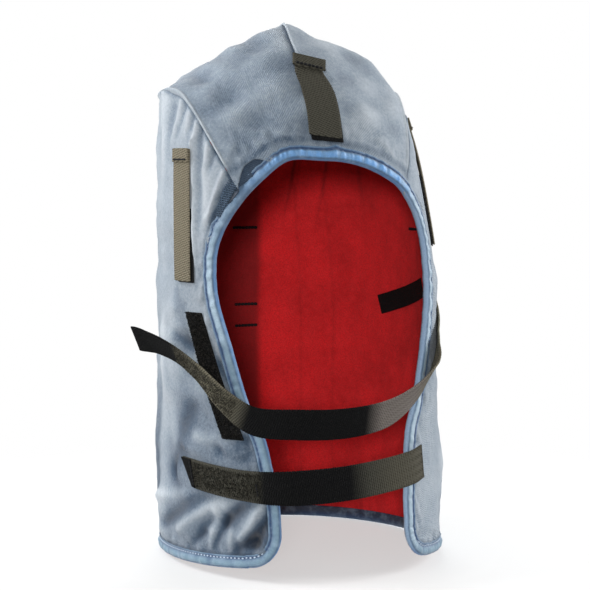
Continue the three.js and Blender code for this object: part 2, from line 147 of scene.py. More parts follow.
# Broad dents; one with a negative depth swells out
DRAPE_DENTS = table("angle height radius depth", [
    (-84, -295, 30, 3),
    (-55, -368, 20, 2.5),
    (-108, -190, 45, 3),
    (84, -325, 32, 2.5),
    (132, -320, 45, 3),
    (-140, -300, 50, 3.5),
    (150, -130, 36, 2.5),
    (78, -60, 26, 3.5),
])
CROWN_DENTS = table("angle share radius depth", [
    (60, -0.55, 22, 2.5),
    (63, 0.6, 20, 2.5),
    (100, -0.5, 30, 2.5),
    (112, 0.5, 32, 3),
    (84, 0.7, 24, -4),
])
# Middle lines of the straps, and of the brow tab and its patch along the crown ridge
MOUTH_STRAP = table("angle height lift tilt", [
    (84, -216, 0.4, 0),
    (70, -230, 0.5, 0),
    (57, -241, 1.8, -6),
    (48, -249, 4.6, -22),
    (38.5, -258, 10.8, -40),
    (28.5, -272.5, 10, -34),
    (16, -284, 9, -25),
    (0, -289, 9, -22),
    (-18, -289, 11, -22),
    (-33, -286.5, 13, -26),
    (-43, -273, 14.5, -34),
    (-53, -254, 16, -40),
    (-62.5, -241, 19, -42),
    (-72.5, -234, 24, -40),
    (-80, -232.5, 29, -36),
])
CHIN_STRAP = table("angle height lift tilt", [
    (-69.5, -330.5, 0.7, 0),
    (-55, -332.5, 2, 0),
    (-40, -334.5, 4, 0),
    (-27, -335, 4.8, 0),
    (-10, -334, 0, 0),
    (8, -331, 0, 0),
    (27, -326, 5, 0),
    (35.2, -323.5, 3.4, 0),
])
FRONT_TAB = table("ridge lift shift", [
    (43.5, 1.8, -1),
    (36, 1.9, -4),
    (27.5, 2.6, -1.4),
    (18, 3.8, -0.6),
    (7.6, 5, -1.4),
])
FRONT_PATCH = table("ridge lift shift", [
    (24, 0.6, 0.6),
    (16, 0.6, 1.1),
    (6.8, 0.6, 1.2),
])


# A cubic between two values with given slopes, t from 0 to 1
def cubic(t, start, end, start_slope, end_slope):
    return (
        (2 * t**3 - 3 * t**2 + 1) * start + (t**3 - 2 * t**2 + t) * start_slope
        + (3 * t**2 - 2 * t**3) * end + (t**3 - t**2) * end_slope
    )


# Smooth curve through the rows of a table
def curve(rows, key, value):
    x = rows[key]
    y = rows[value]
    last = len(x) - 1
    before = np.maximum(np.arange(len(x)) - 1, 0)
    after = np.minimum(np.arange(len(x)) + 1, last)
    slope = (y[after] - y[before]) / (x[after] - x[before])
    direction = 1 if x[-1] > x[0] else -1

    def at(where):
        where = np.asarray(where, float)
        i = np.clip(np.searchsorted(direction * x, direction * where, side="right") - 1, 0, last - 1)
        step = x[i + 1] - x[i]
        t = (where - x[i]) / step
        inside = cubic(t, y[i], y[i + 1], step * slope[i], step * slope[i + 1])
        below = y[i] + slope[i] * (where - x[i])
        above = y[i + 1] + slope[i + 1] * (where - x[i + 1])
        return np.where(t < 0, below, np.where(t > 1, above, inside))

    return at


left_at, right_at, front_at, back_at = (
    curve(SECTIONS, "height", side) for side in ("left", "right", "front", "back")
)
seam_height = curve(SEAM, "angle", "height")
crown_roundness = curve(SEAM, "angle", "roundness")
opening_left = curve(OPENING, "height", "left")
opening_right = curve(OPENING, "height", "right")
hem_height = curve(HEM, "angle", "height")


def smooth(low, high, value):
    t = np.clip((np.asarray(value, float) - low) / (high - low), 0, 1)
    return t * t * (3 - 2 * t)


def mix(a, b, share):
    return a + (b - a) * share


def unit(vectors):
    return vectors / np.linalg.norm(vectors, axis=-1, keepdims=True)


def points(x, y, z):
    return np.stack(np.broadcast_arrays(x, y, z), axis=-1).astype(float)


# Layers are stacked outward, and the whole leans
def outward(point):
    direction = point.copy()
    direction[..., 2] = np.maximum(0, point[..., 2] - STACK_CENTRE_HEIGHT)
    return unit(direction)


def stacked(point, lift):
    moved = point + outward(point) * np.asarray(lift, float)[..., None]
    share = np.maximum(0, (moved[..., 2] - LEAN_START) / (CROWN_TOP - LEAN_START))
    moved[..., 0] -= LEAN_AT_TOP * share**LEAN_POWER
    return moved


# The drape's plan is four quarter ellipses
def drape_plain(angle, height):
    angle, height = np.broadcast_arrays(np.asarray(angle, float), np.asarray(height, float))
    turn = np.radians(angle)
    side = np.where(angle < 0, left_at(height), right_at(height))
    reach = np.where(np.abs(angle) < 90, front_at(height), back_at(height))
    return points(side * np.sin(turn), -reach * np.cos(turn), height)


# The crown: ribs from the ridge to the seam, bent near the back to lie along the back seam
back_end = math.asin(float(back_at(seam_height(180))) / RIDGE_BACK_REACH)
back_drop = (CROWN_TOP - float(seam_height(180))) / (1 - math.cos(back_end))


def ridge_front(degrees):
    turn = np.radians(degrees)
    return points(0, -RIDGE_FRONT_REACH * np.cos(turn), CROWN_TOP - RIDGE_FRONT_DROP * (1 - np.sin(turn)))


def ridge_point(angle):
    front = ridge_front(90 * (np.minimum(angle, 90) - JUNCTION_ANGLE) / (90 - JUNCTION_ANGLE))
    turn = back_end * (np.maximum(angle, 90) - 90) / (BACK_PANEL_ANGLE - 90)
    back = points(0, RIDGE_BACK_REACH * np.sin(turn), CROWN_TOP - back_drop * (1 - np.cos(turn)))
    return np.where((angle < 90)[..., None], front, back)


def crown_rib(angle, share, sign):
    top = ridge_point(angle)
    foot = drape_plain(sign * angle, seam_height(angle))
    return points(
        foot[..., 0] * share,
        mix(top[..., 1], foot[..., 1], share**2),
        mix(top[..., 2], foot[..., 2], share ** crown_roundness(angle)),
    )


# The share runs from -1 at the left seam through 0 at the ridge to 1 at the right seam
def crown_plain(angle, share):
    angle, share = np.broadcast_arrays(np.asarray(angle, float), np.asarray(share, float))
    sign = np.where(share < 0, -1, 1)
    share = np.abs(share)
    back_angle = 180 - (180 - BACK_PANEL_ANGLE) * share
    seam = drape_plain(sign * back_angle, seam_height(back_angle))
    shift = seam - crown_rib(np.full_like(angle, BACK_PANEL_ANGLE), share, sign)
    bend = ((angle - JUNCTION_ANGLE) / (BACK_PANEL_ANGLE - JUNCTION_ANGLE)) ** 3
    return crown_rib(angle, share, sign) + shift * bend[..., None]


DENTS = [
    (drape_plain(angle, height), radius, depth)
    for angle, height, radius, depth in zip(*DRAPE_DENTS.values())
] + [
    (crown_plain(angle, share), radius, depth)
    for angle, share, radius, depth in zip(*CROWN_DENTS.values())
]


def dent_depth(point):
    sunk = 0
    for centre, radius, depth in DENTS:
        sunk = sunk + depth * np.exp(-((point - centre) ** 2).sum(-1) / radius**2)
    return sunk


def drape_point(angle, height, lift):
    plain = drape_plain(angle, height)
    return stacked(plain, lift - dent_depth(plain))


def crown_point(angle, share, lift):
    plain = crown_plain(angle, share)
    return stacked(plain, lift - dent_depth(plain))


# The drape's outlines in angle and height, from the crown junction to the middle of the back
def rib_angle(share):
    return mix(JUNCTION_ANGLE, BACK_PANEL_ANGLE, np.asarray(share, float) ** RIB_CROWDING)


def opening_angle(height, sign):
    return np.where(np.asarray(sign) < 0, opening_left(height), opening_right(height))


def degree_length(angle, height, sign):
    turn = np.radians(angle)
    side = np.where(np.asarray(sign) < 0, left_at(height), right_at(height))
    return np.radians(1) * np.hypot(side * np.cos(turn), front_at(height) * np.sin(turn))


def corner_at(turn, sign):
    start = opening_angle(CORNER_TOP, sign)
    run = CORNER_RADIUS * (1 - np.cos(turn))
    return start + run / degree_length(start, CORNER_TOP, sign), CORNER_TOP - CORNER_RADIUS * np.sin(turn)


def front_outline(t, sign):
    t = np.asarray(t, float)
    straight = 1 - FRONT_CORNER_SHARE
    height = mix(OPENING["height"][0] - SEAM_GAP, CORNER_TOP, np.minimum(t / straight, 1))
    turn = math.pi / 4 * np.maximum(t - straight, 0) / FRONT_CORNER_SHARE
    corner_angle, corner_height = corner_at(turn, sign)
    before = t < straight
    angle = np.where(before, opening_angle(height, sign), corner_angle)
    return angle, np.where(before, height, corner_height)


def hem_outline(t, sign):
    t = np.asarray(t, float)
    corner_angle, corner_height = corner_at(math.pi / 4 * (1 + np.minimum(t / HEM_CORNER_SHARE, 1)), sign)
    start = corner_at(math.pi / 2, sign)[0]
    angle = mix(start, 180, np.maximum(t - HEM_CORNER_SHARE, 0) / (1 - HEM_CORNER_SHARE))
    bend = t < HEM_CORNER_SHARE
    return np.where(bend, corner_angle, angle), np.where(bend, corner_height, hem_height(angle))


def seam_outline(t):
    t = np.asarray(t, float)
    ribs = rib_angle(np.minimum(t / SEAM_RIB_SHARE, 1))
    rest = mix(BACK_PANEL_ANGLE, 180, np.maximum(t - SEAM_RIB_SHARE, 0) / (1 - SEAM_RIB_SHARE))
    angle = np.where(t < SEAM_RIB_SHARE, ribs, rest)
    return angle, seam_height(angle) - SEAM_GAP


# A smooth spread of the four outlines over the panel: u from the opening to the back, v from seam to hem
def drape_spot(u, v, sign):
    spot = []
    ends = np.array([0, 1])
    for key in (0, 1):
        top = seam_outline(u)[key]
        bottom = hem_outline(u, sign)[key]
        front = front_outline(v, sign)[key]
        top_front, top_back = seam_outline(ends)[key]
        hem_front, hem_back = hem_outline(ends, sign)[key]
        back = 180 if key == 0 else mix(top_back, hem_back, v)
        spot.append(
            (1 - v) * top + v * bottom + (1 - u) * front + u * back
            - (1 - u) * (1 - v) * top_front - u * (1 - v) * top_back
            - (1 - u) * v * hem_front - u * v * hem_back
        )
    return spot


# Soft unevenness of cloth: a seeded sum of waves in space
RIPPLE_WAVES = 12
RIPPLE_SPREAD = (0.75, 1.4)


def ripple(point, wavelength, seed):
    chance = np.random.default_rng(seed)
    total = 0
    for _ in range(RIPPLE_WAVES):
        direction = unit(chance.normal(size=3))
        length = wavelength * chance.uniform(*RIPPLE_SPREAD)
        total = total + np.sin(point @ direction * (2 * math.pi / length) + chance.uniform(0, 2 * math.pi))
    return total / math.sqrt(RIPPLE_WAVES / 2)


# Several of them together, each with its height, wavelength and seed
def uneven(point, waves):
    return sum(height * ripple(point, wavelength, seed) for height, wavelength, seed in waves)


# A soft mark beside a line: its strength, its width and the distance at which it is strongest
def mark(distance, strength, width, place=0.0):
    return strength * np.exp(-(((distance - place) / width) ** 2))


# 1 inside a range and 0 outside it, with soft ends
def window(value, start, full, fade, end):
    return smooth(start, full, value) * smooth(end, fade, value)


# Strokes on the panel, in angle and height, and the distance of each place from one
def stroke_distance(angle, height, start, end):
    across = (angle - start[0]) * DEGREE_LENGTH
    down = height - start[1]
    run = (end[0] - start[0]) * DEGREE_LENGTH
    fall = end[1] - start[1]
    t = np.clip((across * run + down * fall) / (run**2 + fall**2), 0, 1)
    return np.hypot(across - t * run, down - t * fall), t


# Folds: ridges where the rise is positive, grooves where it is negative; the end is what is left of it there
FRONT_FOLDS = table("angle0 height0 angle1 height1 width rise end", [
    (-71, -58, -76, -86, 2.4, 2.4, 0.3),
    (-68.6, -60, -73, -84, 2.2, -2.2, 0.3),
    (-64.5, -67, -67.5, -84, 2.2, 2.4, 0.2),
    (-62.4, -70, -65.2, -84, 2, -2.2, 0.2),
    (-59, -74, -62.3, -90, 2.4, 3, 1),
    (-62.3, -90, -60.6, -178, 2.6, 2.8, 0.4),
    (-65, -86, -64, -100, 2.4, -2, 0.3),
    (-57.4, -80, -58.4, -150, 3.4, -2.4, 0.3),
    (-52.4, -90, -55.6, -108, 2.4, 2.4, 0.3),
    (-50, -96, -53.4, -112, 2.2, -2.2, 0.3),
    (-55, -112, -53.5, -165, 5, 1.5, 0.4),
    (-84, -56, -90, -130, 7, 1.6, 0.3),
    (-77, -60, -82, -110, 4, -1.8, 0.2),
    (-72, -198, -66, -236, 9, -1.8, 0.6),
    (-80, -212, -74, -262, 9, 1, 0.6),
    (-64.8, -284, -69, -297, 9, -2.6, 0.9),
    (-80, -280, -78, -310, 8, 1.4, 0.6),
    (-71, -319, -81, -336, 7.5, -4.4, 0.9),
    (-80, -336, -74.5, -343, 5, -2.4, 0.5),
    (-92, -358, -70, -347.5, 4.5, 2.4, 0.6),
    (-89, -378, -60, -347, 5, -4, 0.3),
    (-50, -346, -74, -376, 4, 2.8, 0.8),
    (-52, -357, -62, -373, 3, -1.8, 0.8),
    (-42.5, -342.5, -53.5, -358.5, 4, 2.4, 1),
    (-53.5, -358.5, -56.8, -372, 4, 2.4, 0.5),
    (-38.5, -344, -50, -365, 4.5, -3.2, 1),
    (-32.5, -347, -42.5, -373, 4, 3, 0.8),
    (-30.5, -358, -37, -375, 4.5, -6.5, 1),
    (-37, -375, -46, -385, 4.5, -6, 0.4),
    (-49, -361, -55.8, -385.5, 2.8, -2.4, 0.9),
    (-60.5, -374.5, -68.8, -387.5, 2.6, -2.2, 0.9),
    (-56, -373, -57.2, -384, 2.6, 2, 0.8),
    (-47.2, -370, -47, -382.5, 3, 2.2, 0.8),
    (-36.8, -302, -42, -308, 3.4, -3, 0.9),
    (-50, -312, -38, -316, 4.5, -2, 0.8),
    (-60, -304, -48, -305, 5, 1.8, 0.6),
    (-90, -230, -84, -300, 12, 1.6, 0.6),
    # The next two rows, and the row at 50, -222, are painted shadows of the mouth strap and the cheek patch,
    # with a groove where the cloth is not pressed flat
    (-53, -246, -42, -263, 5, -6, 1),
    (-74, -232, -64, -239, 5, -3, 1),
    (74, -60, 76, -100, 5, -1.6, 0.2),
    (64, -70, 61, -130, 6, 1.4, 0.2),
    (62, -330, 70, -380, 9, 1.4, 0.4),
    (50, -222, 44, -256, 6, -6, 1),
    (86, -345, 80, -392, 7, -1.6, 0.5),
])

# Round the sides and back: short gathers under the seam and long soft folds up from the hem
BACK_FOLD_SEED = 71
BACK_FOLDS = (
    {
        "places": (86, 172, 5.5), "sway": 1.5, "drift": 2, "from": seam_height, "start": -4, "way": -1,
        "reach": (16, 46), "width": (2.6, 4.2), "rise": (1.3, 2.4), "end": 0.2,
    },
    {
        "places": (92, 168, 12), "sway": 3, "drift": 6, "from": hem_height, "start": 0, "way": 1,
        "reach": (70, 190), "width": (6, 11), "rise": (2.6, 4.4), "end": 0.15,
    },
)


def round_the_back(side, kind, chance):
    rows = []
    for place in np.arange(*kind["places"]):
        angle = place + chance.uniform(-kind["sway"], kind["sway"])
        edge = kind["from"](angle)
        rise = chance.uniform(*kind["rise"]) * chance.choice((-1, 1))
        end_angle = side * (angle + chance.uniform(-kind["drift"], kind["drift"]))
        end_height = edge + kind["way"] * chance.uniform(*kind["reach"])
        width = chance.uniform(*kind["width"])
        rows.append((side * angle, edge + kind["start"], end_angle, end_height, width, rise, kind["end"]))
    return rows


def all_folds():
    chance = np.random.default_rng(BACK_FOLD_SEED)
    rows = [row for side in (-1, 1) for kind in BACK_FOLDS for row in round_the_back(side, kind, chance)]
    return {key: np.append(front, back) for (key, front), back in zip(FRONT_FOLDS.items(), np.array(rows).T)}


FOLDS = all_folds()

# What is sewn on or lies against the panel presses it flat
PRESSED = table("angle0 height0 angle1 height1 width", [
    (-68, -90, -67.5, -196, 8.5),
    (70, -66, 69, -170, 9),
    (-62, -214, -43.4, -307, 10),
    (88, -208, 55, -244, 16),
    (-69, -332, -38, -334, 13),
    (25, -326, 40, -323, 13),
    (180, -146, 180, -240, 15),
    (-180, -146, -180, -240, 15),
])
PRESS_FADE = (0.8, 1.5)


def stroke_relief(strokes, angle, height):
    total = 0
    for angle0, height0, angle1, height1, width, rise, end in zip(*strokes.values()):
        distance, t = stroke_distance(angle, height, (angle0, height0), (angle1, height1))
        total = total + mark(distance, rise * mix(1, end, t), width)
    return total


def pressed_share(angle, height):
    total = np.zeros(np.broadcast(angle, height).shape)
    for angle0, height0, angle1, height1, width in zip(*PRESSED.values()):
        distance, _ = stroke_distance(angle, height, (angle0, height0), (angle1, height1))
        full, end = (share * width for share in PRESS_FADE)
        total = np.maximum(total, 1 - smooth(full, end, distance))
    return total


# The tuck beside the binding where the left crown corner ends, with a lip along its far side
TUCK_LINE = drape_plain(np.array([-41, -44, -47.5, -49.5]), np.array([-114, -124, -138, -150]))
TUCK_MARK = (2.4, 6)
TUCK_LIP = (1.5, 1.8, 8.5)
TUCK_LIP_HEIGHTS = (-154, -138)


def tuck_depth(point):
    nearest = np.inf
    for start, end in zip(TUCK_LINE[:-1], TUCK_LINE[1:]):
        run = end - start
        t = np.clip((point - start) @ run / (run @ run), 0, 1)
        nearest = np.minimum(nearest, np.linalg.norm(point - start - t[..., None] * run, axis=-1))
    return mark(nearest, *TUCK_MARK) - mark(nearest, *TUCK_LIP) * smooth(*TUCK_LIP_HEIGHTS, point[..., 2])


# Distance in from the opening and the hem
def edge_distance(angle, height):
    edge = opening_angle(np.maximum(height, CORNER_TOP), np.sign(angle))
    from_opening = (np.abs(angle) - edge) * DEGREE_LENGTH
    return np.minimum(from_opening, height - hem_height(np.abs(angle)))


# How far the binding covers the cloth, and how far in the cloth is free of it
BINDING_COVER = 7.6
BINDING_GRIP = 3.0
DRAPE_FREE = 11.0
CROWN_FREE = 10.0

# The cloth's unevenness in heights, wavelengths and seeds: in its shape, and in its shade
BROAD_WAVE = 62
DRAPE_BROAD = [(1.1, BROAD_WAVE, 3)]
DRAPE_FINE = [(0.4, 27, 5), (0.12, 10, 8)]
DRAPE_CLOUDS = [(0.03, 34, 17)]
CROWN_BROAD = [(1.3, 58, 21)]
CROWN_FINE = [(1.05, 29, 24), (0.14, 10, 29)]
CROWN_CLOUDS = [(0.05, 40, 33)]
LINING_WAVES = [(1, BROAD_WAVE, 3), (0.45, 21, 41)]
LINING_SOFTNESS = [(0.35, 19, 41)]
DRAPE_PUCKERS = [(0.55, 9, 13)]
CROWN_PUCKERS = [(0.4, 9, 13)]
PUCKER_MARK = (1, 5, BINDING_COVER + 3.5)

# Marks on the drape, and the angles and heights between which they come in and fade. Besides the seam's dip,
# all are painted: shadow under the seams, in the right slit, the tuck, beside the binding and at the upper
# left corner, the lower left panel darker and its upper part lighter
SEAM_DIP = (1.2, 4)
SLIT_SHADE = (0.9, 4, 3)
SLIT_ANGLES = (30, 38, 62, 72)
SEAM_SHADE = (0.6, 2.5, 2)
BINDING_LINE = (0.4, 1.6, BINDING_COVER)
TUCK_SHADE = 0.25
CORNER_SHADE = (1.1, 6)
CORNER_HEIGHTS = (-154, -142)
LOW_SHADE = 0.38
LOW_HEIGHTS = (-235, -300)
LOW_ANGLES = (-130, -95, -40, -20)
SUNLIGHT = 0.09
SUNLIT_HEIGHTS = (-220, -120)
SUNLIT_ANGLES = (-35, -50)

# Tone of the plain cloth, and how much painted shade and light its relief adds, darker in hollows and lighter
# on ridges; less of it shows round the back
DEEP_SHADE = -0.6
DRAPE_TONE = 0.58
FOLD_SHADING = 0.1
SEWN_FOLD_SHADING = 0.085
DRAPE_FINE_SHADING = 0.03
DRAPE_PUCKER_SHADING = 0.1
BACK_SHARE = 0.4
FRONT_ANGLES = (112, 84)


def free_share(inside, reach):
    return smooth(BINDING_COVER - BINDING_GRIP, BINDING_COVER + reach, inside)


def puckers(plain, inside, waves):
    return uneven(plain, waves) * mark(inside, *PUCKER_MARK) * (inside > BINDING_COVER - BINDING_GRIP)


# Painted shade on the drape, less the painted light on the upper left panel
def drape_shade(angle, height, inside, tuck):
    below_seam = seam_height(np.abs(angle)) - height
    slit = mark(below_seam, *SLIT_SHADE) * window(angle, *SLIT_ANGLES)
    sewn = mark(below_seam, *SEAM_SHADE) + TUCK_SHADE * tuck + mark(inside, *BINDING_LINE)
    corner = mark(inside, *CORNER_SHADE) * smooth(*CORNER_HEIGHTS, height) * (angle < 0)
    low = LOW_SHADE * smooth(*LOW_HEIGHTS, height) * window(angle, *LOW_ANGLES)
    sunlit = SUNLIGHT * smooth(*SUNLIT_HEIGHTS, height) * smooth(*SUNLIT_ANGLES, angle)
    return slit + sewn + corner + low - sunlit


# Each form gives the height of the cloth over the plain shape, and its tone with painted shade and light,
# from deep shade to 1, palest
def drape_form(angle, height):
    plain = drape_plain(angle, height)
    inside = edge_distance(angle, height)
    loose = free_share(inside, DRAPE_FREE) * (1 - pressed_share(angle, height))
    sewn_folds = stroke_relief(FOLDS, angle, height)
    folds = loose * sewn_folds
    fine = folds + loose * uneven(plain, DRAPE_FINE)
    pucker = puckers(plain, inside, DRAPE_PUCKERS)
    tuck = tuck_depth(plain)
    dip = mark(seam_height(np.abs(angle)) - height, *SEAM_DIP)
    lift = loose * uneven(plain, DRAPE_BROAD) + fine + pucker - dip - tuck
    in_front = mix(BACK_SHARE, 1, smooth(*FRONT_ANGLES, np.abs(angle)))
    tone_and_shade = DRAPE_TONE + in_front * (FOLD_SHADING * folds + SEWN_FOLD_SHADING * sewn_folds)
    tone_and_shade = tone_and_shade + DRAPE_FINE_SHADING * fine + DRAPE_PUCKER_SHADING * pucker + uneven(plain, DRAPE_CLOUDS)
    return lift, np.clip(tone_and_shade - drape_shade(angle, height, inside, tuck), DEEP_SHADE, 1)


# On the left of the brow the edge runs higher, and behind the binding the shell is cut back further
BROW_RAISE = (1.7, 0.24, -0.47)
SHELL_CUT = 3.7
SHELL_CUT_SHARES = (-1.06, -0.84, -0.78, -0.56)
BROW_REACH = 30.0


def brow_raise(share):
    return mark(share, *BROW_RAISE)


def shell_cut(share):
    return SHELL_CUT * window(share, *SHELL_CUT_SHARES)


# The angle of a rib, moved back near the brow by so many degrees
def moved_back(angle, degrees):
    return angle + degrees * smooth(JUNCTION_ANGLE + BROW_REACH, JUNCTION_ANGLE, angle)


# Lengths on the crown: a rib from ridge to seam, and a degree near the brow and near the back
RIB_LENGTH = 115.0
BROW_DEGREE = 1.8
BACK_DEGREE = 1.6
SEAM_CALM = (-4, 22)
RIDGE_DIP = (4.2, 0.34, 0.1)
# Tone of the crown, painted lighter towards the right, with painted shade and light from its relief and
# puckers, and a painted shadow beside the brow binding
CROWN_TONE = 0.48
CROWN_RIGHT_LIGHT = 0.14
CROWN_FINE_SHADING = 0.1
CROWN_PUCKER_SHADING = 0.2
BROW_LINE = (0.35, 1.6, BINDING_COVER)


def crown_form(angle, share):
    plain = crown_plain(angle, share)
    from_brow = (angle - JUNCTION_ANGLE - brow_raise(share)) * BROW_DEGREE
    from_seam = (1 - np.abs(share)) * RIB_LENGTH
    calm = free_share(from_brow, CROWN_FREE) * smooth(*SEAM_CALM, from_seam)
    fine = calm * uneven(plain, CROWN_FINE)
    pucker = puckers(plain, from_brow, CROWN_PUCKERS)
    lift = calm * uneven(plain, CROWN_BROAD) + fine + pucker - mark(share, *RIDGE_DIP)
    tone_and_shade = CROWN_TONE + CROWN_RIGHT_LIGHT * share + uneven(plain, CROWN_CLOUDS)
    tone_and_shade = tone_and_shade + CROWN_FINE_SHADING * fine + CROWN_PUCKER_SHADING * pucker - mark(from_brow, *BROW_LINE)
    return lift, np.clip(tone_and_shade, DEEP_SHADE, 1)


LINING_SEAMS = (144.0, 158.5, -144.0, -158.5)
LINING_CREASES = table("angle0 height0 angle1 height1 width rise end", [
    (156.5, -102, 166, -160, 1.6, -1.6, 0.1),
    (153, -102, 161, -150, 3, 1.2, 0.2),
    (139.5, -96, 150, -160, 1.6, -1.6, 0.1),
    (136, -96, 145, -140, 3, 1.2, 0.2),
    (122, -96, 126, -150, 2.4, -1.2, 0.2),
    (-160, -96, -163, -165, 3, -1.4, 0.2),
    (-141, -92, -145, -140, 3, 1.4, 0.2),
])
LINING_GROOVES = {**LINING_CREASES, "rise": np.minimum(LINING_CREASES["rise"], 0)}
LINING_SEAM_RISE = (0.8, 1.5)
LINING_SEAM_SHADE = (0.2, 1.3)
GROOVE_SHADE = 0.55
LINING_GAP = 0.3
LINING_LEAST = 1.4

# The lining is darker on the left, up to a line near the middle of the back
TONE_LINE = 5.0
TONE_BLUR = 4.0


def lining_side_tone(point):
    return smooth(TONE_LINE - TONE_BLUR, TONE_LINE + TONE_BLUR, point[..., 0])


# The lining's tone: darker on the left and along the seams, with painted shade in its creases
def lining_shading(angle, height, point):
    tone_and_shade = lining_side_tone(point)
    for seam in LINING_SEAMS:
        tone_and_shade = tone_and_shade * (1 - mark((angle - seam) * DEGREE_LENGTH, *LINING_SEAM_SHADE))
    return np.clip(tone_and_shade + GROOVE_SHADE * stroke_relief(LINING_GROOVES, angle, height), 0, 1)


# Heights of the lining's outer and inner face; it stays under the shell
def lining_form(angle, height):
    shell = drape_form(angle, height)[0] - SHELL_THICKNESS
    free = free_share(edge_distance(angle, height), DRAPE_FREE)
    relief = free * uneven(drape_plain(angle, height), LINING_WAVES)
    for seam in LINING_SEAMS:
        relief = relief + mark((angle - seam) * DEGREE_LENGTH, *LINING_SEAM_RISE)
    relief = relief - stroke_relief(LINING_CREASES, angle, height)
    outer = np.minimum(relief - LINING_OUTER, shell - LINING_GAP)
    return outer, np.minimum(relief - LINING_INNER, outer - LINING_LEAST)


# Meshes: creases past this angle stay sharp, and a rim stands out by a share of the cloth's thickness
SHARP_ANGLE = 70.0
SOFT_RIM = 0.35
ROUND_RIM = 0.5
TINY = 1e-9


# A mesh object from points in millimetres
def new_object(name, vertices, faces, uv=None, tint=None, tone_and_shade=None):
    mesh = bpy.data.meshes.new(name)
    mesh.from_pydata((np.asarray(vertices) * MM).tolist(), [], [list(face) for face in faces])
    if uv is not None:
        corner = np.empty(len(mesh.loops), dtype=np.int32)
        mesh.loops.foreach_get("vertex_index", corner)
        layer = mesh.uv_layers.new(name="cloth")
        layer.data.foreach_set("uv", np.asarray(uv, float)[corner].ravel())
    if tint is not None:
        layer = mesh.attributes.new(name="tint", type="FLOAT_COLOR", domain="POINT")
        layer.data.foreach_set("color", np.column_stack([tint, np.ones(len(tint))]).ravel())
    if tone_and_shade is not None:
        layer = mesh.attributes.new(name="tone_and_shade", type="FLOAT", domain="POINT")
        layer.data.foreach_set("value", np.asarray(tone_and_shade, float))
    mesh.update()
    mesh.shade_smooth()
    mesh.set_sharp_from_angle(angle=math.radians(SHARP_ANGLE))
    piece = bpy.data.objects.new(name, mesh)
    bpy.context.scene.collection.objects.link(piece)
    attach(piece, "root")
    return piece


def finished(piece, material):
    piece.data.materials.append(material)
    return piece


# Faces between neighbouring points of a numbered grid
def grid_faces(index):
    return np.stack([
        index[:-1, :-1].ravel(),
        index[:-1, 1:].ravel(),
        index[1:, 1:].ravel(),
        index[1:, :-1].ravel(),
    ], axis=-1)


def faced_out(vertices, faces):
    a, b, c, d = (vertices[faces[:, k]] for k in range(4))
    volume = (a * np.cross(b, c)).sum() + (a * np.cross(c, d)).sum()
    return faces if volume > 0 else faces[:, ::-1]


def border(grid):
    return np.concatenate([grid[0, :-1], grid[:-1, -1], grid[-1, :0:-1], grid[:0:-1, 0]])


# The grid's points one step in from its border
def step_in(index):
    inner = index.copy()
    inner[0] = index[1]
    inner[-1] = index[-2]
    inner[:, 0] = inner[:, 1]
    inner[:, -1] = inner[:, -2]
    return inner


# A sheet of cloth: an outer and an inner grid joined by a rounded rim
def cloth(name, outer, inner, uv, tint=None, tone_and_shade=None, bulge=SOFT_RIM):
    rows, columns = outer.shape[:2]
    count = rows * columns
    index = np.arange(count).reshape(rows, columns)
    ring = border(index)
    next_ring = np.roll(ring, -1)
    outer_flat = outer.reshape(-1, 3)
    inner_flat = inner.reshape(-1, 3)
    away = unit(outer_flat[ring] - outer_flat[border(step_in(index))] + TINY)
    thickness = np.linalg.norm(outer_flat[ring] - inner_flat[ring], axis=-1, keepdims=True)
    middle = (outer_flat[ring] + inner_flat[ring]) / 2 + away * bulge * thickness
    rim = 2 * count + np.arange(len(ring))
    next_rim = np.roll(rim, -1)
    vertices = np.concatenate([outer_flat, inner_flat, middle])
    faces = np.concatenate([
        grid_faces(index)[:, ::-1],
        grid_faces(index + count),
        np.stack([ring, next_ring, next_rim, rim], axis=-1),
        np.stack([rim, next_rim, next_ring + count, ring + count], axis=-1),
    ])

    def spread(values, size):
        flat = np.broadcast_to(values, (rows, columns, size)).reshape(-1, size)
        return np.concatenate([flat, flat, flat[ring]])

    return new_object(
        name, vertices, faced_out(vertices, faces), spread(uv, 2),
        None if tint is None else spread(tint, 3),
        None if tone_and_shade is None else spread(tone_and_shade[..., None], 1).ravel(),
    )


# Lengths along the rows and down the columns of a grid, for weaves and flat sizes
def cloth_uv(grid):
    along = np.linalg.norm(np.diff(grid, axis=1), axis=-1)
    down = np.linalg.norm(np.diff(grid, axis=0), axis=-1)
    u = np.concatenate([np.zeros((grid.shape[0], 1)), np.cumsum(along, axis=1)], axis=1)
    v = np.concatenate([np.zeros((1, grid.shape[1])), np.cumsum(down, axis=0)], axis=0)
    middle = grid.shape[1] // 2
    return np.stack([u - u[:, middle:middle + 1], v], axis=-1)


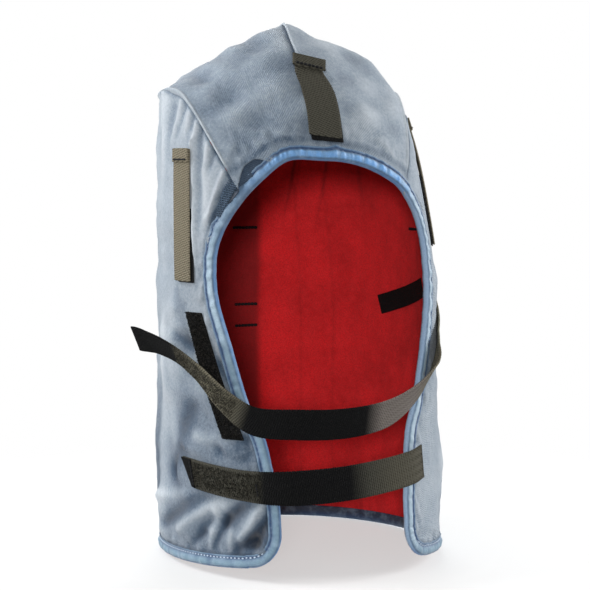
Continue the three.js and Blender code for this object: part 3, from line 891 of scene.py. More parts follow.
# Materials are node trees; constants go straight on the sockets
class Shader:
    def __init__(self, name):
        self.material = bpy.data.materials.new(name)
        self.material.use_nodes = True
        self.tree = self.material.node_tree
        self.base = self.tree.nodes["Principled BSDF"]

    def feed(self, socket, value):
        if isinstance(value, bpy.types.NodeSocket):
            self.tree.links.new(value, socket)
        else:
            socket.default_value = value

    def node(self, kind, *inputs, **settings):
        made = self.tree.nodes.new(kind)
        for key, value in settings.items():
            setattr(made, key, value)
        for socket, value in zip(made.inputs, inputs):
            if value is not None:
                self.feed(socket, value)
        return made

    def math(self, operation, *inputs):
        return self.node("ShaderNodeMath", *inputs, operation=operation).outputs[0]

    # Inputs 6 and 7 of a mix node are its two colours
    def blend(self, share, first, second):
        made = self.node("ShaderNodeMix", data_type="RGBA")
        for position, value in ((0, share), (6, first), (7, second)):
            self.feed(made.inputs[position], value)
        return made.outputs[2]

    def place(self):
        return self.node("ShaderNodeTexCoord").outputs["Object"]

    def fill(self, made, **inputs):
        for key, value in inputs.items():
            self.feed(made.inputs[key.replace("_", " ")], value)
        return made

    def noise(self, scale, detail=3.0, roughness=0.55):
        made = self.node("ShaderNodeTexNoise")
        self.fill(made, Vector=self.place(), Scale=scale, Detail=detail, Roughness=roughness)
        return made.outputs["Fac"]

    def span(self, value, low, high, out_low=0.0, out_high=1.0):
        return self.node("ShaderNodeMapRange", value, low, high, out_low, out_high).outputs[0]

    def attribute(self, name, output):
        return self.node("ShaderNodeAttribute", attribute_name=name).outputs[output]

    # A stripe of the given pitch across the cloth's own lengths
    def stripe(self, across, down, pitch, waver=0.0):
        turns = 2 * math.pi / pitch
        cloth_place = self.node("ShaderNodeUVMap").outputs[0]
        turned = self.node(
            "ShaderNodeVectorMath", cloth_place, (across * turns, down * turns, 0), operation="DOT_PRODUCT"
        )
        wave = self.math("SINE", self.math("ADD", turned.outputs["Value"], waver))
        return self.math("MULTIPLY_ADD", wave, 0.5, 0.5)

    def bump(self, height, strength, distance):
        made = self.node("ShaderNodeBump")
        return self.fill(made, Height=height, Strength=strength, Distance=distance).outputs[0]

    def set(self, **inputs):
        self.fill(self.base, **inputs)
        return self.material


# A screen colour, each channel from 0 to 255, as the linear light that shaders take
def colour(red, green, blue):
    channels = []
    for value in (red, green, blue):
        share = value / 255
        channels.append(share / 12.92 if share <= 0.04045 else ((share + 0.055) / 1.055) ** 2.4)
    return (*channels, 1.0)


# The same for a tint that the mesh carries
def tint_of(red, green, blue):
    return np.array(colour(red, green, blue)[:3])


def twill_material():
    shade = Shader("twill")
    tone_and_shade = shade.attribute("tone_and_shade", "Fac")
    waver = shade.math("MULTIPLY", shade.noise(300.0, 2.0), 4.0)
    lines = shade.stripe(0.77, 0.64, 1.3, waver)
    threads = shade.noise(1500.0, 3.0, 0.75)
    grain = shade.span(shade.noise(480.0, 2.0), 0.3, 0.7, -0.09, 0.09)
    patchy = shade.math("ADD", grain, shade.span(shade.noise(60.0, 4.0), 0.3, 0.7, -0.06, 0.06))
    # The mesh's tone with painted shade and light: darkest in painted shadows and hollows, palest on painted
    # highlights of ridges, welts and the upper left
    cloudy = shade.math("ADD", tone_and_shade, patchy)
    deep = shade.blend(shade.span(cloudy, -0.6, 0.0), colour(22, 38, 58), colour(64, 84, 106))
    ground = shade.blend(shade.span(cloudy, 0.0, 0.5), deep, colour(142, 155, 168))
    paler = shade.blend(shade.span(cloudy, 0.5, 1.0), ground, colour(198, 206, 213))
    lined = shade.blend(shade.math("MULTIPLY", lines, 0.24), paler, colour(80, 98, 118))
    flecks = shade.span(threads, 0.5, 0.8, 0.0, 0.5)
    fleck_share = shade.math("MULTIPLY", flecks, shade.span(cloudy, -0.3, 0.5, 0.15, 1.0))
    flecked = shade.blend(fleck_share, lined, colour(194, 203, 211))
    height = shade.math("MULTIPLY_ADD", threads, 0.9, shade.math("MULTIPLY", lines, 0.8))
    return shade.set(
        Base_Color=flecked, Roughness=0.88, Sheen_Weight=0.22, Sheen_Roughness=0.45,
        Normal=shade.bump(height, 0.6, 0.0006),
    )


def fleece_material():
    shade = Shader("fleece")
    pile = shade.noise(950.0, 4.0, 0.7)
    clumps = shade.noise(170.0, 3.0, 0.6)
    cloudy = shade.span(shade.noise(26.0, 3.0), 0.36, 0.66)
    ground = shade.blend(cloudy, colour(212, 22, 28), colour(244, 32, 38))
    tufted = shade.blend(shade.span(clumps, 0.35, 0.7, 0.0, 0.5), ground, colour(242, 44, 48))
    piled = shade.blend(shade.span(pile, 0.4, 0.75, 0.0, 0.55), tufted, colour(120, 10, 14))
    # Darker where the lining's tone is low: on its left side, and in the painted shade of its creases
    darkening = shade.span(shade.attribute("tone_and_shade", "Fac"), 0.0, 1.0, 0.62, 0.0)
    darkened = shade.blend(darkening, piled, colour(52, 3, 6))
    height = shade.math("MULTIPLY_ADD", clumps, 1.2, pile)
    return shade.set(
        Base_Color=darkened, Roughness=0.95, Sheen_Weight=0.2, Sheen_Roughness=0.6,
        Sheen_Tint=colour(220, 70, 70), Normal=shade.bump(height, 0.7, 0.0009),
    )


def binding_material():
    shade = Shader("binding")
    weave = shade.math("MULTIPLY", shade.stripe(1, 0, 0.9), shade.stripe(0, 1, 1.1))
    threads = shade.noise(1300.0, 3.0, 0.7)
    paler = shade.span(shade.noise(140.0, 3.0), 0.45, 0.75, 0.0, 0.35)
    ground = shade.blend(paler, shade.attribute("tint", "Color"), colour(176, 200, 222))
    flecked = shade.blend(shade.span(threads, 0.4, 0.75, 0.0, 0.4), ground, colour(72, 102, 140))
    height = shade.math("MULTIPLY_ADD", threads, 0.6, weave)
    return shade.set(
        Base_Color=flecked, Roughness=0.5, Sheen_Weight=0.2, Normal=shade.bump(height, 0.4, 0.0004)
    )


def webbing_material():
    shade = Shader("webbing")
    ribs = shade.stripe(0.3, 1, 1.7, shade.math("MULTIPLY", shade.noise(500.0, 2.0), 2.5))
    cords = shade.stripe(1, -0.6, 2.3)
    threads = shade.noise(1300.0, 3.0, 0.7)
    woven = shade.math("MULTIPLY", ribs, shade.math("MULTIPLY_ADD", cords, 0.5, 0.5))
    shaded = shade.blend(shade.math("MULTIPLY", woven, 0.75), shade.attribute("tint", "Color"), (0, 0, 0, 1))
    raised = shade.math("SUBTRACT", 1.0, woven)
    glint = shade.math("MULTIPLY", shade.span(threads, 0.4, 0.8, 0.0, 0.06), raised)
    lit = shade.blend(glint, shaded, colour(150, 147, 138))
    height = shade.math("ADD", woven, threads)
    return shade.set(
        Base_Color=lit, Roughness=0.8, Specular_IOR_Level=0.15, Normal=shade.bump(height, 0.6, 0.0007)
    )


def hook_material():
    shade = Shader("hook_and_loop")
    dots = shade.node("ShaderNodeTexVoronoi", shade.place(), None, 900.0).outputs["Distance"]
    pile = shade.noise(1300.0, 3.0, 0.75)
    dusty = shade.span(shade.noise(120.0, 3.0), 0.45, 0.75, 0.0, 0.5)
    ground = shade.blend(dusty, colour(8, 9, 10), colour(18, 18, 19))
    speckled = shade.blend(shade.span(pile, 0.55, 0.85, 0.0, 0.5), ground, colour(58, 55, 50))
    height = shade.math("ADD", dots, pile)
    return shade.set(
        Base_Color=speckled, Roughness=0.85, Specular_IOR_Level=0.25, Normal=shade.bump(height, 0.8, 0.0009)
    )


def pile_material():
    shade = Shader("loop_pile")
    gloss = shade.span(shade.noise(900.0, 2.0), 0.3, 0.7, 0.4, 0.75)
    fibre = shade.blend(shade.noise(2200.0, 2.0), shade.attribute("tint", "Color"), (0, 0, 0, 1))
    return shade.set(Base_Color=fibre, Roughness=gloss, Specular_IOR_Level=0.2)


def thread_material(name, dark, light):
    shade = Shader(name)
    twist = shade.noise(2400.0, 2.0)
    return shade.set(
        Base_Color=shade.blend(twist, dark, light), Roughness=0.7, Specular_IOR_Level=0.2,
        Normal=shade.bump(twist, 0.5, 0.0003),
    )


TWILL = twill_material()
FLEECE = fleece_material()
BINDING = binding_material()
WEBBING = webbing_material()
HOOK = hook_material()
PILE = pile_material()
DARK_THREAD = thread_material("dark_thread", colour(10, 11, 13), colour(34, 35, 38))
# The opening's stitches are the hem's pale thread, drawn in a darker blue as painted shade
SHADED_THREAD = thread_material("shaded_thread", colour(40, 62, 98), colour(76, 106, 148))
PALE_THREAD = thread_material("pale_thread", colour(180, 198, 216), colour(216, 228, 240))

OLIVE = tint_of(72, 71, 63)
BROWN = tint_of(92, 89, 77)
TAB_OLIVE = tint_of(84, 82, 72)
PALE_BROWN = tint_of(126, 121, 103)
GREY = tint_of(138, 130, 124)
BLACK = tint_of(5, 6, 9)
TAN = tint_of(136, 128, 109)
STRIP = tint_of(80, 98, 118)

# Divisions of the cloth
DRAPE_COLUMNS = 165
DRAPE_ROWS = 145
LINING_TRIM = 0.012
LINING_ROWS = 90
CROWN_COLUMNS = 90
CROWN_ROWS = 100
FRONT_CROWDING = 1.5


# The drape's angles and heights, from the left opening round the back to the right one
def drape_grid(columns, rows, crowding, trim):
    v = np.linspace(0, 1, rows + 1)[:, None]
    u = mix(trim, 1, np.linspace(0, 1, columns + 1)[None, :] ** crowding)
    left = [np.broadcast_to(value, (rows + 1, columns + 1)) for value in drape_spot(u, v, -1)]
    right = [np.broadcast_to(value, (rows + 1, columns + 1)) for value in drape_spot(u, v, 1)]
    angle = np.concatenate([-left[0][:, :-1], right[0][:, ::-1]], axis=1)
    height = np.concatenate([left[1][:, :-1], right[1][:, ::-1]], axis=1)
    return angle, height


# A sheet of cloth that stands for a solid: its outer and inner grid, and its tone with painted shade and
# light
def sheet(name, node, layers, tone_and_shade, material):
    outer, inner = layers
    piece = cloth(name, outer, inner, cloth_uv(outer), tone_and_shade=tone_and_shade)
    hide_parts(node)
    finished(piece, material)


def build_drape():
    angle, height = drape_grid(DRAPE_COLUMNS, DRAPE_ROWS, FRONT_CROWDING, 0.0)
    lift, tone_and_shade = drape_form(angle, height)
    layers = [drape_point(angle, height, lift - depth) for depth in (0, SHELL_THICKNESS)]
    sheet("drape_cloth", "drape", layers, tone_and_shade, TWILL)


def build_drape_lining():
    angle, height = drape_grid(DRAPE_COLUMNS, LINING_ROWS, 1.0, LINING_TRIM)
    layers = [drape_point(angle, height, lift) for lift in lining_form(angle, height)]
    tone_and_shade = lining_shading(angle, height, layers[1])
    sheet(
        "lining_drape_cloth", "lining_drape", layers, tone_and_shade, FLEECE
    )


# The centre seam: the right half laps over the left, and the lap drifts off the ridge towards the brow tab
SEAM_LAP = 3.5
SEAM_DRIFT = (-1.5, -7)
DRIFT_ANGLES = (90, 66)
LAP_ANGLES = (JUNCTION_ANGLE + 6, JUNCTION_ANGLE + 14)
LAP_LIGHT = (0.3, 1.1, 0.7)
LAP_DIP = (0.9, 5)
LAP_SHADE = (0.8, 3)

# A sewn edge rolls up into a narrow welt and turns under in steps
WELT_SLOPE = (0.35, 6)
WELT_ROLL = (1.3, 0.9, 0.7)
WELT_LIGHT = (0.45, 1.2, 0.6)
WELT_ANGLES = (JUNCTION_ANGLE + 3, JUNCTION_ANGLE + 7)
EDGE_STEPS = table("past lift", [(0.5, 1.25), (1.0, 0.9), (1.6, 0.3), (2.2, -0.6), (2.5, -1.9)])
JUNCTION_LAP = {-1: 1.0, 1: 2.2}
JUNCTION_SINK = -0.2


def seam_drift(angle):
    return mix(*SEAM_DRIFT, smooth(*DRIFT_ANGLES, angle))


def ridge_share(angle, offset):
    return offset / np.abs(drape_plain(-angle, seam_height(angle))[..., 0])


def welt(distance):
    return mark(distance, *WELT_SLOPE) + mark(distance, *WELT_ROLL)


def crown_half_form(sign, angle, share, to_lap, proud):
    lift, tone_and_shade = crown_form(angle, share)
    to_seam = (1 - np.abs(share)) * RIB_LENGTH
    to_back = (BACK_PANEL_ANGLE - angle) * BACK_DEGREE
    edge = np.minimum(to_seam, to_back)
    shown = smooth(*LAP_ANGLES, angle)
    lift = lift + proud * welt(edge)
    # Painted highlight along the welt and the lap's edge, and painted shadow on the left half under the lap
    tone_and_shade = tone_and_shade + proud * mark(edge, *WELT_LIGHT)
    if sign > 0:
        lift = lift + shown * welt(to_lap)
        tone_and_shade = tone_and_shade + shown * mark(to_lap, *LAP_LIGHT)
    else:
        lift = lift - shown * mark(to_lap, *LAP_DIP)
        tone_and_shade = tone_and_shade - shown * mark(to_lap, *LAP_SHADE)
    return lift, np.clip(tone_and_shade, DEEP_SHADE, 1)


# Both faces of a crown half: its ribs, and the steps by which it turns under at the side and the back
def crown_half_faces(sign, angle, share, lift, proud):
    seam_angle, seam_proud = angle[:, -1:], proud[:, -1:]
    back_angle = np.where(share[-1] < 0, -1, 1) * (180 - (180 - BACK_PANEL_ANGLE) * np.abs(share[-1]))
    corner_angle = np.full(len(EDGE_STEPS["past"]), sign * BACK_PANEL_ANGLE)
    faces = []
    for depth in (0, SHELL_THICKNESS):
        side = [crown_point(angle, share, lift - depth)]
        back = []
        for past, rise in zip(*EDGE_STEPS.values()):
            below = seam_height(seam_angle) - past * mix(JUNCTION_LAP[sign], 1, seam_proud)
            side.append(drape_point(sign * seam_angle, below, mix(JUNCTION_SINK, rise, seam_proud) - depth))
            along = drape_point(back_angle, seam_height(np.abs(back_angle)) - past, rise - depth)
            corner_height = seam_height(BACK_PANEL_ANGLE) - np.maximum(past, EDGE_STEPS["past"])
            back.append(np.concatenate([along, drape_point(corner_angle, corner_height, rise - depth)]))
        faces.append(np.concatenate([np.concatenate(side, axis=1), np.stack(back)], axis=0))
    return faces


def build_crown_half(sign):
    angle = rib_angle(np.linspace(0, 1, CROWN_ROWS + 1))[:, None]
    lap = seam_drift(angle)
    start = ridge_share(angle, lap if sign > 0 else lap + SEAM_LAP)
    spread = 0.5 - 0.5 * np.cos(math.pi * np.linspace(0, 1, CROWN_COLUMNS + 1))
    share = mix(start, sign, spread)
    to_lap = np.abs(share - ridge_share(angle, lap)) * RIB_LENGTH
    angle = moved_back(angle, brow_raise(share) + shell_cut(share))
    proud = smooth(*WELT_ANGLES, angle)
    lift, tone_and_shade = crown_half_form(sign, angle, share, to_lap, proud)
    layers = crown_half_faces(sign, angle, share, lift, proud)
    steps = len(EDGE_STEPS["past"])
    tone_and_shade = np.pad(tone_and_shade, ((0, steps), (0, steps)), mode="edge")
    node = "crown_left" if sign < 0 else "crown_right"
    sheet(f"{node}_cloth", node, layers, tone_and_shade, TWILL)


LINING_CROWDING = 0.9
CROWN_LINING_GAP = 0.4
LINING_RIDGE_DIP = (1.3, 0.16)


def build_crown_lining():
    angle = rib_angle(np.linspace(LINING_TRIM, 1, LINING_ROWS + 1) ** LINING_CROWDING)[:, None]
    share = np.linspace(-1, 1, 2 * CROWN_COLUMNS + 1)[None, :]
    angle = moved_back(angle, brow_raise(share))
    lift = crown_form(angle, share)[0] - CROWN_LINING_GAP - mark(share, *LINING_RIDGE_DIP)
    soft = np.minimum(uneven(crown_plain(angle, share), LINING_SOFTNESS), 0)
    outer = crown_point(angle, share, lift - LINING_OUTER)
    inner = crown_point(angle, share, lift + soft - LINING_INNER)
    tone_and_shade = lining_side_tone(inner)
    sheet("lining_crown_cloth", "lining_crown", (outer, inner), tone_and_shade, FLEECE)


# The binding's section: distance in from the edge, height over the shell, how far it puckers, and its painted
# shade and light, dark in the stitch groove and light on the puff; -1 is the navy inner side and above 1 the
# bluer nose
BINDING_SECTION = table("inset lift pucker shade", [
    (7.4, 0.15, 0.0, 0.2),
    (7.8, 0.6, 0.3, 0.35),
    (7.2, 1.0, 0.5, 0.6),
    (6.4, 0.65, 0.1, 0.0),
    (5.7, 0.35, 0.0, -0.35),
    (4.9, 0.75, 0.3, 0.3),
    (3.6, 1.45, 0.9, 0.8),
    (2.0, 1.7, 1.0, 1.0),
    (0.4, 1.5, 0.7, 0.9),
    (-0.8, 0.9, 0.4, 0.3),
    (-1.6, -0.1, 0.2, 1.8),
    (-1.9, -1.4, 0.2, 2.0),
    (-1.7, -2.9, 0.2, 1.7),
    (-0.8, -4.2, 0.2, 0.2),
    (1.2, -4.95, 0.3, -0.5),
    (4.0, -5.1, 0.4, -1),
    (6.4, -4.9, 0.2, -1),
    (7.6, -4.7, 0.1, -1),
    (7.8, -4.3, 0.0, -1),
    (7.3, -4.05, 0.0, -1),
    (3.6, -4.05, 0.0, -1),
    (0.2, -4.0, 0.0, -1),
    (-0.7, -3.2, 0.0, -1),
    (-0.9, -1.7, 0.0, 0),
    (-0.7, -0.1, 0.0, 0),
    (0.2, 0.2, 0.0, 0),
    (3.6, 0.2, 0.0, 0),
])
BINDING_FACE = slice(0, 18)
BROW_STATIONS = 190
FRONT_STATIONS = 230
HEM_STATIONS = 260
STATIONS = BROW_STATIONS + 2 * FRONT_STATIONS + 2 * HEM_STATIONS
OPENING_END = BROW_STATIONS + FRONT_STATIONS
HEM_RUN = slice(OPENING_END, OPENING_END + 2 * HEM_STATIONS)
ON_BROW = np.arange(STATIONS) < BROW_STATIONS
ON_RIGHT = (np.arange(STATIONS) >= BROW_STATIONS) & (np.arange(STATIONS) < OPENING_END)
FIRST_FRONT = 0.005
OUTLINE_STEP = 0.004


# One step of the edge on the crown and on the drape: the edge itself, or moved in by an inset
def brow_edge(share, inset, lift):
    angle = JUNCTION_ANGLE + brow_raise(share)
    start = crown_point(angle, share, 0.0)
    onward = crown_point(angle + 1, share, 0.0)
    rate = np.linalg.norm(onward - start, axis=-1)
    return crown_point(angle + inset / rate, share, lift)


def drape_edge(outline, t, sign, inset, lift):
    angle, height = outline(t, sign)
    before = outline(np.maximum(t - OUTLINE_STEP, 0), sign)
    after = outline(np.minimum(t + OUTLINE_STEP, 1), sign)
    degree = degree_length(angle, height, sign)
    run = (after[0] - before[0]) * degree
    rise = after[1] - before[1]
    length = np.hypot(run, rise)
    return drape_point(sign * (angle - inset * rise / length / degree), height + inset * run / length, lift)


def edge_line(inset, lift):
    brow = np.linspace(-1, 1, BROW_STATIONS)
    front = np.linspace(FIRST_FRONT, 1, FRONT_STATIONS, endpoint=False)
    hem = np.linspace(0, 1, HEM_STATIONS, endpoint=False)
    return np.concatenate([
        brow_edge(brow, inset, lift),
        drape_edge(front_outline, front, 1, inset, lift),
        drape_edge(hem_outline, hem, 1, inset, lift),
        drape_edge(hem_outline, 1 - hem, -1, inset, lift),
        drape_edge(front_outline, front[::-1], -1, inset, lift),
    ])


def calmed(values, rounds):
    for _ in range(rounds):
        values = (np.roll(values, 1, axis=0) + 2 * values + np.roll(values, -1, axis=0)) / 4
    return values


# The edge with its inward and outward directions, smoothed where the crown meets the drape
JUNCTION_BLUR = (6, 22)
EDGE_CALM = 25
DIRECTION_CALM = 6
JUNCTION_CALM = 150


def edge_frames():
    edge = edge_line(0.0, 0.0)
    inward = unit(edge_line(2.0, 0.0) - edge)
    out = unit(edge_line(0.0, 1.0) - edge)
    near = np.zeros(STATIONS)
    for joint in (0, BROW_STATIONS):
        away = np.abs((np.arange(STATIONS) - joint + STATIONS // 2) % STATIONS - STATIONS // 2)
        near = np.maximum(near, 1 - smooth(*JUNCTION_BLUR, away))
    near = near[:, None]
    edge = mix(edge, calmed(edge, EDGE_CALM), near)
    inward, out = (
        unit(mix(calmed(way, DIRECTION_CALM), calmed(way, JUNCTION_CALM), near)) for way in (inward, out)
    )
    return edge, inward, out


# Across the upper left corner the binding leaves the shell's edge and runs straighter
CUT_START = -48.0
CUT_END = 46.0
CUT_SHARE = 0.42
CUT_BREADTH = 0.15
CUT_LIFT = 0.8
CUT_BLUR = (60, 95)
CUT_CALM = 160
SHELL_EDGE, EDGE_INWARD, EDGE_OUT = edge_frames()
EDGE_RUN = np.cumsum(np.linalg.norm(SHELL_EDGE - np.roll(SHELL_EDGE, 1, axis=0), axis=-1))
FROM_JUNCTION = np.where(EDGE_RUN < EDGE_RUN[-1] / 2, EDGE_RUN, EDGE_RUN - EDGE_RUN[-1])


def cut_edge():
    inside = (FROM_JUNCTION > CUT_START) & (FROM_JUNCTION < CUT_END)
    share = (FROM_JUNCTION[inside] - CUT_START) / (CUT_END - CUT_START)
    order = np.argsort(FROM_JUNCTION[inside])
    first, last = SHELL_EDGE[inside][order[0]], SHELL_EDGE[inside][order[-1]]
    edge = SHELL_EDGE.copy()
    edge[inside] = mix(SHELL_EDGE[inside], mix(first, last, share[:, None]), CUT_SHARE)
    near = (1 - smooth(*CUT_BLUR, np.abs(FROM_JUNCTION)))[:, None]
    return mix(edge, calmed(edge, CUT_CALM), near)


EDGE = cut_edge()
CUT_DEPTH = np.linalg.norm(EDGE - SHELL_EDGE, axis=-1)
CUT = CUT_DEPTH / CUT_DEPTH.max()


def edge_rings(inset, lift):
    inset = np.asarray(inset, float)[..., None]
    lift = np.asarray(lift, float)[..., None]
    return EDGE[:, None] + EDGE_INWARD[:, None] * inset + EDGE_OUT[:, None] * lift


# Unevenness along the closed edge, in whole waves
LINE_WAVES = 9
LINE_SPREAD = (0.7, 1.5)


def ripple_line(wavelength, seed):
    chance = np.random.default_rng(seed)
    along = np.arange(STATIONS)
    total = np.zeros(STATIONS)
    for _ in range(LINE_WAVES):
        turns = round(STATIONS / (wavelength * chance.uniform(*LINE_SPREAD)))
        total = total + np.sin(2 * math.pi * turns * along / STATIONS + chance.uniform(0, 2 * math.pi))
    return total / math.sqrt(LINE_WAVES / 2)


# The binding puckers, most of all on the brow and across the corner, and is pinched at one place on the brow
LONG_WAVE = ripple_line(11, 51)
LONG_PUCKER = 0.26
SHORT_WAVE = ripple_line(5, 52)
SHORT_PUCKER = 0.16
BROW_PUCKER = 1.6
BROW_CALM = 200
CUT_PUCKER = 1.5
CUT_WAVER = 0.14
PINCH = (1, 3.5, 82)
PINCH_RISE = 1.1
PINCH_BREADTH = 0.22


def binding_rings():
    inset, lift, pucker = (BINDING_SECTION[key] for key in ("inset", "lift", "pucker"))
    pinch = mark(FROM_JUNCTION, *PINCH)
    gathered = calmed(np.where(ON_BROW, BROW_PUCKER, 1.0), BROW_CALM) + CUT_PUCKER * CUT
    wave = (LONG_PUCKER * LONG_WAVE + SHORT_PUCKER * SHORT_WAVE) * gathered + PINCH_RISE * pinch
    lifted = lift + pucker * wave[:, None] + CUT_LIFT * CUT[:, None]
    breadth = 1 + (CUT_BREADTH + CUT_WAVER * LONG_WAVE) * CUT + PINCH_BREADTH * pinch
    return edge_rings(inset * np.where(inset > 0, breadth[:, None], 1), lifted)


# Its colours, laid one over the other: painted shade and light across the section and along the puckers,
# painted highlights at the right opening and high on the left one, the brow and the dull corner
BINDING_SHADE = tint_of(44, 74, 116)
BINDING_LIGHT = tint_of(121, 151, 169)
BINDING_NAVY = tint_of(34, 42, 60)
BINDING_NOSE = tint_of(88, 140, 200)
BINDING_HIGHLIGHT = tint_of(206, 226, 238)
BINDING_BROW = tint_of(118, 176, 236)
BINDING_DULL = tint_of(94, 117, 141)
PUCKER_SHADE = 0.14
TOP_SHADES = (0.5, 0.9)
RIGHT_HIGHLIGHT = 0.45
LEFT_HIGHLIGHT = (0.5, 38, -78)
BROW_BLUE = 0.9
BROW_WAVER = 0.25
CUT_DULL = 0.8
DULL_LEAST = -0.5
TINT_CALM = 60


def binding_tint():
    shade = BINDING_SECTION["shade"]
    top = smooth(*TOP_SHADES, shade) * (shade <= 1)
    right = calmed(np.where(ON_RIGHT, RIGHT_HIGHLIGHT, 0.0), TINT_CALM)[:, None]
    highlight = right + mark(FROM_JUNCTION, *LEFT_HIGHLIGHT)[:, None]
    brow = calmed(np.where(ON_BROW, BROW_BLUE, 0.0), TINT_CALM) + BROW_WAVER * LONG_WAVE * ON_BROW
    puckered = shade + PUCKER_SHADE * BINDING_SECTION["pucker"] * LONG_WAVE[:, None]
    tint = BINDING_SHADE
    for over, share in (
        (BINDING_LIGHT, np.clip(puckered, 0, 1)),
        (BINDING_NAVY, np.clip(-shade, 0, 1)),
        (BINDING_NOSE, np.clip(shade - 1, 0, 1)),
        (BINDING_HIGHLIGHT, highlight * top + right * (shade > 1)),
        (BINDING_BROW, np.clip(brow[:, None] * top, 0, 1)),
        (BINDING_DULL, CUT_DULL * CUT[:, None] * (shade > DULL_LEAST)),
    ):
        tint = mix(tint, over, share[..., None])
    return tint


def build_binding():
    rings = binding_rings()
    index = np.arange(rings[..., 0].size).reshape(rings.shape[:2])
    vertices = rings.reshape(-1, 3)
    faces = faced_out(vertices, grid_faces(np.pad(index, ((0, 1), (0, 1)), mode="wrap")))
    around = np.cumsum(np.hypot(*(np.gradient(BINDING_SECTION[key]) for key in ("inset", "lift"))))
    uv = np.stack(np.broadcast_arrays(EDGE_RUN[:, None], around), axis=-1).reshape(-1, 2)
    piece = new_object("edge_binding_cloth", vertices, faces, uv, binding_tint().reshape(-1, 3))
    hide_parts("edge_binding")
    finished(piece, BINDING)


# The distance run along a line of points, and points of a line by that distance
def run_along(line):
    return np.concatenate([[0], np.cumsum(np.linalg.norm(np.diff(line, axis=0), axis=-1))])


def along_line(line, run, where):
    return np.stack([np.interp(where, run, line[:, k]) for k in range(3)], axis=-1)


# Faces of so many capped tubes, whose points are numbered ring by ring
def tube_faces(count, rings, sides):
    index = np.arange(rings * sides).reshape(rings, sides)
    first = rings * sides * np.arange(count)[:, None, None]
    wall = grid_faces(np.pad(index, ((0, 0), (0, 1)), mode="wrap"))
    caps = np.stack([index[0, ::-1], index[-1]])
    return (wall + first).reshape(-1, 4).tolist() + (caps + first).reshape(-1, sides).tolist()


# Stitches: short rounded threads laid along a line of points, of one length, thickness and pitch
STITCH_SIDES = 6
STITCH_RINGS = ((-1.0, 0.15), (-0.82, 0.75), (-0.35, 1.0), (0.35, 1.0), (0.82, 0.75), (1.0, 0.15))
STITCH_FLATNESS = 0.8
STITCH_REACH = 0.5
OPENING_STITCH = (2.7, 0.6, 3.7)
HEM_STITCH = (1.7, 0.95, 3.4)
MOUTH_STITCH = (2.4, 1.2, 2.8)
CHIN_HEM_STITCH = (2.4, 1.5, 2.5)
CHIN_TACK_STITCH = (2.2, 1.3, 2.4)
CHIN_END_STITCH = (2.0, 0.7, 2.8)
FRONT_TAB_STITCH = (2.5, 2.3, 2.7)
SIDE_TAB_STITCH = (2.6, 1.5, 2.4)
REAR_TAB_STITCH = (2.4, 0.9, 2.6)
LINING_STITCH = (3.2, 2.6, 2.6)


def stitch_row(name, line, normal, material, size):
    length, thickness, pitch = size
    run = run_along(line)
    count = max(int(run[-1] / pitch), 1)
    where = (np.arange(count) + 0.5) * run[-1] / count
    centre = along_line(line, run, where)[:, None]
    ahead = along_line(line, run, where + STITCH_REACH) - along_line(line, run, where - STITCH_REACH)
    ahead = unit(ahead)[:, None]
    up = unit(along_line(normal, run, where))[:, None]
    side = unit(np.cross(ahead, up))
    turn = np.linspace(0, 2 * math.pi, STITCH_SIDES, endpoint=False)[:, None]
    around = side * np.cos(turn) + up * (STITCH_FLATNESS * np.sin(turn))
    rings = [
        centre + ahead * (reach * length / 2) + around * (radius * thickness / 2)
        for reach, radius in STITCH_RINGS
    ]
    vertices = np.stack(rings, axis=1).reshape(-1, 3)
    faces = tube_faces(count, len(STITCH_RINGS), STITCH_SIDES)
    finished(new_object(name, vertices, faces), material)


# A dark strip that stands for the shade between the binding and the cut edge of the crown, painted darkest
# under the crown's edge
SHADE_STRIP_SHARES = (-1.0, -0.42)
SHADE_STRIP_GRID = (16, 60)
SHADE_STRIP_INSET = 0.4
SHADE_STRIP_PAST = 3.5
SHADE_STRIP_DEPTH = 1.3
SHADE_STRIP_THICKNESS = 0.5
SHADE_STRIP_START = -0.35
SHADE_STRIP_FADE = (0.4, 0.8)


def build_shade_strip():
    rows, columns = SHADE_STRIP_GRID
    share = np.linspace(*SHADE_STRIP_SHARES, columns)[None, :]
    run = np.linspace(0, 1, rows)[:, None]
    edge = JUNCTION_ANGLE + brow_raise(share)
    angle = mix(edge + SHADE_STRIP_INSET, edge + shell_cut(share) + SHADE_STRIP_PAST, run)
    lift = crown_form(angle, share)[0] - SHADE_STRIP_DEPTH
    outer = crown_point(angle, share, lift)
    inner = crown_point(angle, share, lift - SHADE_STRIP_THICKNESS)
    tone_and_shade = np.broadcast_to(mix(SHADE_STRIP_START, DEEP_SHADE, smooth(*SHADE_STRIP_FADE, run)), SHADE_STRIP_GRID)
    piece = cloth("edge_shade_strip", outer, inner, cloth_uv(outer), tone_and_shade=tone_and_shade, bulge=ROUND_RIM)
    finished(piece, TWILL)


STITCH_INSET = 5.8
STITCH_LIFT = 0.7


def build_binding_stitches():
    inset = STITCH_INSET * (1 + CUT_BREADTH * CUT)
    line = edge_rings(inset[:, None], STITCH_LIFT + CUT_LIFT * CUT[:, None])[:, 0]
    opening = np.r_[HEM_RUN.stop:STATIONS, 0:OPENING_END]
    for name, where, thread, size in (
        ("opening_stitches", opening, SHADED_THREAD, OPENING_STITCH),
        ("hem_stitches", HEM_RUN, PALE_THREAD, HEM_STITCH),
    ):
        stitch_row(name, line[where], EDGE_OUT[where], thread, size)


# Tapes that hang free: a smooth curve of centres, each with its outward direction and tilt. The knots are
# spaced by the root of the distance between centres, which is this power of its square
KNOT_POWER = 0.25
TAPE_STEP = 0.001


